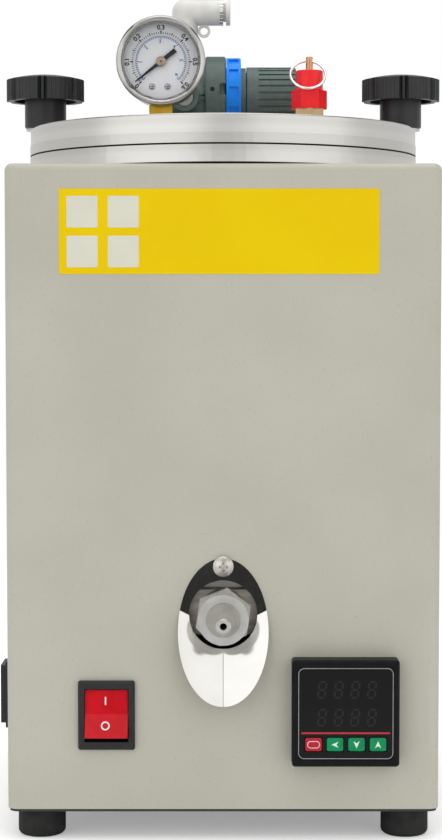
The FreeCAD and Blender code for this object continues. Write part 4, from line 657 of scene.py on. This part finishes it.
def tickTree():
    # A tick on each point of an arc, with a long one wherever Every divides its number
    lengths = ("Sweep", "Radius", "Long", "Short", "Width", "Depth")
    sizes = {label: "NodeSocketFloat" for label in lengths}
    counts = {"Count": "NodeSocketInt", "Every": "NodeSocketInt"}
    others = {"Centre": "NodeSocketVector", "Finish": "NodeSocketMaterial"}
    tree = geometryTree("dialTicks", {**counts, **sizes, **others})
    start = addNode(tree, "NodeGroupInput").outputs
    found = {label: start[label] for label in (*sizes, *counts)}
    found["index"] = addNode(tree, "GeometryNodeInputIndex").outputs[0]
    for name, operation, *terms in (
        ("spaces", "SUBTRACT", "Count", 1),
        ("share", "DIVIDE", "index", "spaces"),
        ("centred", "SUBTRACT", "share", 0.5),
        ("angle", "MULTIPLY", "centred", "Sweep"),
        ("across", "SINE", "angle"),
        ("up", "COSINE", "angle"),
        ("remainder", "MODULO", "index", "Every"),
        ("isLong", "LESS_THAN", "remainder", 0.5),
        ("extra", "SUBTRACT", "Long", "Short"),
        ("more", "MULTIPLY", "extra", "isLong"),
        ("length", "ADD", "Short", "more"),
        ("half", "MULTIPLY", "length", 0.5),
        ("middle", "SUBTRACT", "Radius", "half"),
    ):
        links = {i: found[term] for i, term in enumerate(terms) if isinstance(term, str)}
        values = {i: term for i, term in enumerate(terms) if not isinstance(term, str)}
        node = addNode(tree, "ShaderNodeMath", values, links, operation=operation)
        found[name] = node.outputs[0]
    links = {"X": found["across"], "Z": found["up"]}
    direction = addNode(tree, "ShaderNodeCombineXYZ", links=links)
    spot = addNode(
        tree,
        "ShaderNodeVectorMath",
        links={0: direction.outputs[0], "Scale": found["middle"]},
        operation="SCALE",
    )
    links = {0: spot.outputs[0], 1: start["Centre"]}
    moved = addNode(tree, "ShaderNodeVectorMath", links=links, operation="ADD")
    line = addNode(tree, "GeometryNodeMeshLine", links={"Count": start["Count"]})
    spots = {"Geometry": line.outputs[0], "Position": moved.outputs[0]}
    points = addNode(tree, "GeometryNodeSetPosition", links=spots)
    size = addNode(
        tree,
        "ShaderNodeCombineXYZ",
        links={"X": start["Width"], "Y": start["Depth"], "Z": found["length"]},
    )
    turn = addNode(tree, "ShaderNodeCombineXYZ", links={"Y": found["angle"]})
    bar = addNode(tree, "GeometryNodeMeshCube", {"Size": (1, 1, 1)})
    ticks = addNode(
        tree,
        "GeometryNodeInstanceOnPoints",
        links={
            "Points": points.outputs[0],
            "Instance": bar.outputs[0],
            "Rotation": turn.outputs[0],
            "Scale": size.outputs[0],
        },
    )
    paintAndEnd(tree, ticks, start["Finish"])
    return tree


def paintAndEnd(tree, instances, finish):
    # The export drops instances, so every tree ends with real faces in their finish
    real = addNode(tree, "GeometryNodeRealizeInstances", links={"Geometry": instances.outputs[0]})
    links = {"Geometry": real.outputs[0], "Material": finish}
    painted = addNode(tree, "GeometryNodeSetMaterial", links=links)
    addNode(tree, "NodeGroupOutput", links={"Geometry": painted.outputs[0]})


def onDial(turn, reach):
    angle = math.radians(turn)
    x = place["gaugeX"] + reach * math.sin(angle)
    z = place["gaugeZ"] + reach * math.cos(angle)
    return x, z


def dialArc(name, radius, width):
    # A thin arc from the first tick to the last
    count = dial["arcSteps"] + 1
    turns = [dial["sweep"] * (i / dial["arcSteps"] - 0.5) for i in range(count)]
    rows = [onDial(turn, reach) for reach in (radius - width, radius) for turn in turns]
    points = [(x, dial["y"] - dial["arcLift"], z) for x, z in rows]
    return meshOf(name, points, wall(0, count, count, closed=False))


def dialFigures(name, row, numbers, spell):
    for number in numbers:
        turn = row["step"] * number - dial["sweep"] / 2
        x, z = onDial(turn, row["reach"])
        figure = f"{name}{number}"
        mesh = frontText(figure, spell(number), x, z, dial["y"], row["size"], turn)
        newPiece(figure, mesh, row["ink"], "lid_group")


def gaugeDial():
    tree = tickTree()
    centre = (place["gaugeX"] * mm, dial["y"] * mm, place["gaugeZ"] * mm)
    seed = bpy.data.meshes.new("tickSeed")
    for name, row in dial["ticks"].items():
        inputs = {key: number * mm for key, number in row.items() if key != "Count"}
        inputs.update(Count=row["Count"], Every=dial["longEvery"], Depth=dial["inkDepth"] * mm)
        ink = dial["tickInk"].get(name, "black ink")
        inputs.update(Sweep=math.radians(dial["sweep"]), Centre=centre, Finish=makeFinish(ink))
        growPiece(name, tree, inputs, seed, "lid_group")
    for name, (radius, width, ink) in dial["arcs"].items():
        newPiece(name, dialArc(name, radius, width), ink, "lid_group")
    dialFigures("figure", dial["figures"], range(7), lambda n: f"0.{n}" if n else "0")
    dialFigures("blueFigure", dial["blueFigures"], range(1, 7), str)
    print("gauge dial printed")


gaugeDial()

# Small domed heads on the gauge, with x and z from its axis: two slotted screws in the
# dial, and over the CAD pointer a bronze cap with a dark pin
dialScrew = dict(y=-15.85, z=-11.6, radius=1.5, height=0.7, slit=True)
dialScrew.update(body="lid_group", finish="zinc plated steel", slot="zinc_screw")
pointerHub = dict(x=0, z=0, slit=False, body="gauge_pointer")
buttons = {
    "dialScrewLeft": dict(dialScrew, x=-4.2),
    "dialScrewRight": dict(dialScrew, x=3.1),
    "pointerCap": dict(
        pointerHub, y=-17.4, radius=2.35, height=0.5, finish="dull bronze", slot="brass"
    ),
    "pointerPin": dict(
        pointerHub, y=-17.85, radius=0.45, height=0.12, finish="black ink", slot="stainless_steel"
    ),
}
# The head's profile as shares of its radius and height, and its slit
dome = {
    "profile": [(1, 0), (1, 0.35), (0.88, 0.7), (0.55, 0.93)],
    "steps": 28,
    "slitReach": 0.7,
    "slitHalf": 0.16,
    "slitLevel": 0.86,
}


def turnedButton(name, button):
    x, z = place["gaugeX"] + button["x"], place["gaugeZ"] + button["z"]
    y, radius, height, steps = button["y"], button["radius"], button["height"], dome["steps"]
    points, faces = [], []
    for reach, rise in dome["profile"]:
        points += ringRow((x, y - rise * height, z), [reach * radius] * steps)
    tip = len(points)
    points.append((x, y - height, z))
    for first in range(0, tip - steps, steps):
        faces += wall(first, first + steps, steps)
    faces += [[tip - steps + i, tip - steps + (i + 1) % steps, tip] for i in range(steps)]
    faces.append(list(range(steps))[::-1])
    mesh = meshOf(name, points, faces, outwards=True)
    mesh.shade_smooth()
    newPiece(name, mesh, button["finish"], button["body"])
    if button["slit"]:
        reach, half = radius * dome["slitReach"], dome["slitHalf"]
        outline = barOutline(x - reach, x + reach, z - half, z + half)
        # the slot is not cut into the head: a thin black sheet sunk in the dome paints the shade
        # inside it
        cut = frontSheet(name + "SlotShade", [outline], y - height * dome["slitLevel"], half)
        newPiece(name + "SlotShade", cut, "black ink", button["body"])


for name, button in buttons.items():
    turnedButton(name, button)

# Decal on the front: a blank yellow panel with four blank pale squares
decal = {
    "x": -1.8,
    "z": 274.1,
    "width": 142.4,
    "tall": 37.8,
    "corner": 0.8,
    "thickness": 0.12,
    "squares": [(-62.7, 282.8), (-44.4, 282.8), (-62.7, 265.2), (-44.4, 265.2)],
    "squareWidth": 13.8,
    "squareTall": 14.0,
    "squareCorner": 0.5,
    "printThickness": 0.05,
}


def frontDecal():
    panel = roundedOutline(decal["x"], decal["z"], decal["width"], decal["tall"], decal["corner"])
    sheet = frontSheet("yellowDecal", [panel], place["frontY"], decal["thickness"])
    newPiece("yellowDecal", sheet, "yellow vinyl", "injector")
    size = (decal["squareWidth"], decal["squareTall"], decal["squareCorner"])
    squares = [roundedOutline(x, z, *size) for x, z in decal["squares"]]
    level = place["frontY"] - decal["thickness"]
    printed = frontSheet("decalSquares", squares, level, decal["printThickness"])
    newPiece("decalSquares", printed, "pale vinyl", "injector")
    print("decal placed")


frontDecal()

# Controller front: an outline, two rows of unlit figures and a red line
controller = {
    "x": 54.7,
    "z": 59.5,
    "faceY": -88.7,
    "outlineOuter": (42.4, 40.9, 2.6),
    "outlineInner": (41.8, 40.3, 2.3),
    "printThickness": 0.03,
    "segmentThickness": 0.02,
    "digitTall": 8.0,
    "digitWide": 4.0,
    "digitPitch": 7.4,
    "digits": 4,
    "firstDigit": -10.6,
    "digitBar": 0.85,
    "digitGap": 0.15,
    "digitLean": 0.12,
    "rows": [70.2, 57.7],
    "line": (50.3, 51.1),
    "lineHalf": 19.8,
}


def segmentDigit(x, z):
    # The seven bars of one slanted figure, as outlines
    bar, gap, lean = controller["digitBar"], controller["digitGap"], controller["digitLean"]
    tall, wide = controller["digitTall"] / 2, controller["digitWide"] / 2
    bars = []
    for level in (bar / 2 - tall, 0, tall - bar / 2):
        bars.append(barOutline(bar - wide, wide - bar, level - bar / 2, level + bar / 2))
    for side in (-1, 1):
        left = side * (wide - bar / 2) - bar / 2
        for low, high in ((bar - tall, -bar / 2), (bar / 2, tall - bar)):
            bars.append(barOutline(left, left + bar, low + gap, high - gap))
    return [[(x + px + pz * lean, z + pz) for px, pz in outline] for outline in bars]


def controllerFront():
    x, z, y = controller["x"], controller["z"], controller["faceY"]
    thickness = controller["printThickness"]
    outer = roundedOutline(x, z, *controller["outlineOuter"])
    inner = roundedOutline(x, z, *controller["outlineInner"])
    bars = []
    for rowZ in controller["rows"]:
        for count in range(controller["digits"]):
            across = controller["firstDigit"] + count * controller["digitPitch"]
            bars += segmentDigit(x + across, rowZ)
    half = controller["lineHalf"]
    line = barOutline(x - half, x + half, *controller["line"])
    prints = {
        "controllerOutline": (
            ringStrip("controllerOutline", outer, inner, y, thickness), "grey ink"
        ),
        "unlitFigures": (
            frontSheet("unlitFigures", bars, y, controller["segmentThickness"]), "unlit segment"
        ),
        "redLine": (frontSheet("redLine", [line], y, thickness), "red ink"),
    }
    for name, (mesh, finish) in prints.items():
        newPiece(name, mesh, finish, "injector")
    print("controller front printed")


controllerFront()

# Key marks: a white swept arrowhead on each green key, and an empty oval on the red one.
# A step is the key's place from the controller's middle, in pitches.
keyMark = {
    "steps": {"key_left": -0.5, "key_down": 0.5, "key_up": 1.5},
    "turns": {"key_left": 0, "key_down": 90, "key_up": -90},
    "arrow": [(1.0, -0.85), (-1.0, 0.0), (1.0, 0.85), (0.35, 0.0)],
    "arrowSize": 1.612,
    "pitch": 9.6,
    "z": 45.6,
    "y": -89.21,
    "thickness": 0.04,
    "ovalStep": -1.5,
    "ovalOuter": (5.6, 3.2, 1.55),
    "ovalInner": (5.1, 2.7, 1.3),
    "ovalThickness": 0.03,
    "ovalSink": 0.02,
}


def keyArrow(name, x, turn):
    z, y, size = keyMark["z"], keyMark["y"], keyMark["arrowSize"]
    outline = []
    for px, pz in keyMark["arrow"]:
        across = px * math.cos(turn) - pz * math.sin(turn)
        up = px * math.sin(turn) + pz * math.cos(turn)
        outline.append((x + across * size, z + up * size))
    points = [(px, level, pz) for level in (y, y + keyMark["thickness"]) for px, pz in outline]
    # the arrowhead is hollow behind, so its face is two triangles
    faces = [[0, 3, 1], [1, 3, 2], [4, 5, 7], [5, 6, 7]] + wall(0, 4, 4)
    return meshOf(name, points, faces)


def keyMarks():
    for key, step in keyMark["steps"].items():
        x = controller["x"] + step * keyMark["pitch"]
        mesh = keyArrow(f"{key}Mark", x, math.radians(keyMark["turns"][key]))
        newPiece(f"{key}Mark", mesh, "white ink", key)
    x = controller["x"] + keyMark["ovalStep"] * keyMark["pitch"]
    outer = roundedOutline(x, keyMark["z"], *keyMark["ovalOuter"])
    inner = roundedOutline(x, keyMark["z"], *keyMark["ovalInner"])
    level = keyMark["y"] + keyMark["ovalSink"]
    mesh = ringStrip("keySetMark", outer, inner, level, keyMark["ovalThickness"])
    newPiece("keySetMark", mesh, "white ink", "key_set")
    print("keys marked")


keyMarks()

# Rocker marks: a bar on the half that is pressed in and a ring on the other. The face is
# bent, so middle and end are its heights over the pivot at its middle and its ends.
rocker = {
    "x": -52.9,
    "pivotY": -79.1,
    "pivotZ": 57.3,
    "tilt": 12.0,
    "halfTall": 10.8,
    "end": 4.6,
    "middle": 2.9,
    "lift": 0.05,
    "bar": (-0.32, 0.32, 4.1, 7.7),
    "ringAlong": -5.2,
    "ringRadii": (2.0, 1.35),
    "ringSteps": 32,
}


def onRocker(across, along):
    # From the rocker's own face to the frame: across is to the right, along is up
    rise = (rocker["end"] - rocker["middle"]) * abs(along) / rocker["halfTall"]
    out = rocker["middle"] + rise + rocker["lift"]
    turn = math.radians(rocker["tilt"])
    y = along * math.sin(turn) - out * math.cos(turn)
    z = along * math.cos(turn) + out * math.sin(turn)
    return (rocker["x"] + across, rocker["pivotY"] + y, rocker["pivotZ"] + z)


def rockerMarks():
    steps = rocker["ringSteps"]
    bar = [onRocker(across, along) for across, along in barOutline(*rocker["bar"])]
    ring = []
    for radius in rocker["ringRadii"]:
        for i in range(steps):
            angle = 2 * math.pi * i / steps
            along = rocker["ringAlong"] + radius * math.sin(angle)
            ring.append(onRocker(radius * math.cos(angle), along))
    marks = {"rockerBar": (bar, [[0, 1, 2, 3]]), "rockerRing": (ring, wall(0, steps, steps))}
    for name, (points, faces) in marks.items():
        mesh = meshOf(name, points, faces)
        newPiece(name, mesh, "white ink", "switch_rocker")
    print("rocker marked")


rockerMarks()

# Elbow: the steel grip ring that shows between the body and its release collar. Its
# profile is (x from the ring's near side, radius, whether the teeth show there).
gripRing = {
    "x": -1.6,
    "z": 388.1,
    "profile": [(0, 6.0, False), (0, 6.62, True), (1.7, 6.62, True), (1.7, 4.8, False)],
    "teeth": 24,
    "notch": 0.12,
}


def elbowGripRing():
    # four points to a tooth: two of them in the notch and two on the crest
    pattern = [gripRing["notch"]] * 2 + [0.0] * 2
    steps = len(pattern) * gripRing["teeth"]
    points, faces = [], []
    for i, (x, radius, toothed) in enumerate(gripRing["profile"]):
        notches = pattern * gripRing["teeth"] if toothed else [0.0] * steps
        spot = (gripRing["x"] + x, place["airY"], gripRing["z"])
        points += ringRow(spot, [radius - notch for notch in notches], across=(0, 1, 0))
        if i:
            faces += wall((i - 1) * steps, i * steps, steps)
    mesh = meshOf("elbowGripRing", points, faces, outwards=True)
    newPiece("elbowGripRing", mesh, "polished stainless steel", "elbow")


elbowGripRing()

# Clamp knobs: fine upright ribs round each lobed head, left out at the notches between
# the lobes, of which the first faces the front
knob = {
    "headBase": 341.1,
    "headTop": 351.5,
    "ribReach": 18.48,
    "ribs": 56,
    "ribWidth": 0.9,
    "lobes": 7,
    "notchHalf": 8.5,
}


def ribTree():
    # One straight upright bar on each of the seed's points
    sizes = {"Width": "NodeSocketFloat", "Height": "NodeSocketFloat"}
    tree = geometryTree("gripRibs", {**sizes, "Finish": "NodeSocketMaterial"})
    start = addNode(tree, "NodeGroupInput").outputs
    half = addNode(tree, "ShaderNodeMath", {1: 0.5}, {0: start["Width"]}, operation="MULTIPLY")
    sizes = {"Radius": half.outputs[0], "Depth": start["Height"]}
    bar = addNode(tree, "GeometryNodeMeshCylinder", {"Vertices": 8}, sizes)
    links = {"Points": start["Geometry"], "Instance": bar.outputs["Mesh"]}
    ribs = addNode(tree, "GeometryNodeInstanceOnPoints", links=links)
    paintAndEnd(tree, ribs, start["Finish"])
    return tree


def knobRibs():
    tree = ribTree()
    middle = (knob["headBase"] + knob["headTop"]) / 2
    lobe = 360 / knob["lobes"]
    inputs = {
        "Width": knob["ribWidth"] * mm,
        "Height": (knob["headTop"] - knob["headBase"]) * mm,
        "Finish": makeFinish("moulded phenolic"),
    }
    for side, hand in (("left", -1), ("right", 1)):
        points = []
        for i in range(knob["ribs"]):
            angle = 2 * math.pi * i / knob["ribs"]
            fromNotch = (math.degrees(angle) + 90) % lobe
            if min(fromNotch, lobe - fromNotch) < knob["notchHalf"]:
                continue
            x = hand * place["clampX"] + knob["ribReach"] * math.cos(angle)
            y = place["potY"] + knob["ribReach"] * math.sin(angle)
            points.append((x, y, middle))
        seed = meshOf("ribSeed", points, [])
        growPiece(f"knobRibs{side.title()}", tree, inputs, seed, f"knob_{side}")
    print("knob ribs grown")


knobRibs()


# Floor, lights, surround and camera, in metres but for the camera's millimetres. A panel
# is its place, its width and its power in watts.
studio = {
    "floorHalf": 0.75,
    "floorFront": -0.42,
    "floorBack": 0.95,
    "floorColour": "#f7f7f6",
    "floorRough": 0.8,
    "floorLift": 0.3,
    "panels": {
        "leftPanel": ((-0.9, -1.0, 0.75), 1.6, 4.6),
        "rightPanel": ((0.95, -0.9, 0.7), 1.6, 3.8),
        "topPanel": ((0.0, -0.1, 1.3), 1.4, 6.0),
    },
    "aim": (0, 0, 0.2),
    "lighting": 0.66,
}
# What metal mirrors: brightness by height, from straight down at 0 to straight up at 1,
# and the dark patch where the camera stands, its drop and its edge in degrees
mirror = {
    "heights": ((0.48, 0.86), (0.62, 0.1), (0.86, 0.1), (0.97, 0.9)),
    "patchDrop": 8,
    "patchEdge": (7.5, 6.0),
    "patchShade": 0.03,
}
camera = {
    "x": -1.0,
    "distance": 900.0,
    "z": 238.6,
    "pitch": 3.4,
    "sensor": 36,
    "focalPixels": 2018.8,
    "imageTall": 840,
    "shiftPixels": 11.4,
}


def paleFloor():
    half, front, back = studio["floorHalf"], studio["floorFront"], studio["floorBack"]
    mesh = bpy.data.meshes.new("floor")
    corners = [(x, y, 0) for x, y in barOutline(-half, half, front, back)]
    mesh.from_pydata(corners, [], [(0, 1, 2, 3)])
    material = bpy.data.materials.new("pale studio floor")
    material.use_nodes = True
    tree = material.node_tree
    shader = tree.nodes["Principled BSDF"]
    shader.inputs["Base Color"].default_value = hexColour(studio["floorColour"])
    shader.inputs["Roughness"].default_value = studio["floorRough"]
    shader.inputs["Emission Color"].default_value = (1, 1, 1, 1)
    # a lift that only the camera sees, so that the floor ends in the white ground
    path = addNode(tree, "ShaderNodeLightPath").outputs["Is Camera Ray"]
    lift = addNode(
        tree, "ShaderNodeMath", {1: studio["floorLift"]}, {0: path}, operation="MULTIPLY"
    )
    tree.links.new(lift.outputs[0], shader.inputs["Emission Strength"])
    mesh.materials.append(material)
    sceneObject("floor", mesh)


def softLights():
    # Two wide panels in front and one above
    for name, (spot, size, power) in studio["panels"].items():
        light = bpy.data.lights.new(name, "AREA")
        light.size = size
        light.energy = power
        lamp = sceneObject(name, light)
        lamp.location = spot
        aim = Vector(studio["aim"]) - Vector(spot)
        lamp.rotation_euler = aim.to_track_quat("-Z", "Y").to_euler()


def mirroredShade(tree, way):
    # A dark band overhead and a small dark patch just below level, as in a real studio
    apart = addNode(tree, "ShaderNodeSeparateXYZ", links={"Vector": way}).outputs
    height = addNode(tree, "ShaderNodeValToRGB", links={"Fac": apart["Z"]})
    stops = height.color_ramp.elements
    for level, shade in mirror["heights"]:
        stops.new(level).color = (shade, shade, shade, 1)
    stops.remove(stops[0])
    stops.remove(stops[-1])
    drop = math.radians(mirror["patchDrop"])
    toCamera = {1: (0, -math.cos(drop), -math.sin(drop))}
    facing = addNode(
        tree, "ShaderNodeVectorMath", toCamera, {0: way}, operation="DOT_PRODUCT"
    ).outputs["Value"]
    outer, inner = [math.cos(math.radians(edge)) for edge in mirror["patchEdge"]]
    edges = {"From Min": outer, "From Max": inner, "To Min": 1, "To Max": mirror["patchShade"]}
    outside = addNode(tree, "ShaderNodeMapRange", edges, {"Value": facing}).outputs[0]
    links = {0: height.outputs[0], 1: outside}
    return addNode(tree, "ShaderNodeMath", links=links, operation="MULTIPLY").outputs[0]


def surround():
    # White for the camera, even light for the pieces, and the mirrored shades for metal
    world = bpy.data.worlds.new("studio")
    bpy.context.scene.world = world
    world.use_nodes = True
    tree = world.node_tree
    tree.nodes.clear()
    path = addNode(tree, "ShaderNodeLightPath").outputs
    way = addNode(tree, "ShaderNodeTexCoord").outputs["Generated"]
    bent = {0: path["Is Glossy Ray"], 1: path["Is Transmission Ray"]}
    seen = addNode(tree, "ShaderNodeMath", links=bent, operation="MAXIMUM").outputs[0]
    even = {"Color": (1, 1, 1, 1), "Strength": studio["lighting"]}
    lighting = addNode(tree, "ShaderNodeBackground", even).outputs[0]
    shades = {"Color": mirroredShade(tree, way)}
    mirrored = addNode(tree, "ShaderNodeBackground", {"Strength": 1.0}, shades).outputs[0]
    plain = {"Color": (1, 1, 1, 1), "Strength": 1.0}
    white = addNode(tree, "ShaderNodeBackground", plain).outputs[0]
    unseen = addNode(tree, "ShaderNodeMixShader", links={0: seen, 1: lighting, 2: mirrored})
    links = {0: path["Is Camera Ray"], 1: unseen.outputs[0], 2: white}
    whole = addNode(tree, "ShaderNodeMixShader", links=links)
    addNode(tree, "ShaderNodeOutputWorld", links={"Surface": whole.outputs[0]})


def photographCamera():
    lens = bpy.data.cameras.new("camera")
    lens.sensor_fit = "AUTO"
    lens.sensor_width = camera["sensor"]
    lens.lens = camera["focalPixels"] * camera["sensor"] / camera["imageTall"]
    lens.shift_y = camera["shiftPixels"] / camera["imageTall"]
    viewer = sceneObject("camera", lens)
    y = place["frontY"] - camera["distance"]
    viewer.location = (camera["x"] * mm, y * mm, camera["z"] * mm)
    viewer.rotation_euler = (math.radians(90 - camera["pitch"]), 0, 0)
    bpy.context.scene.camera = viewer


paleFloor()
softLights()
surround()
photographCamera()
bpy.context.scene.view_settings.view_transform = "Standard"
print("stage set")
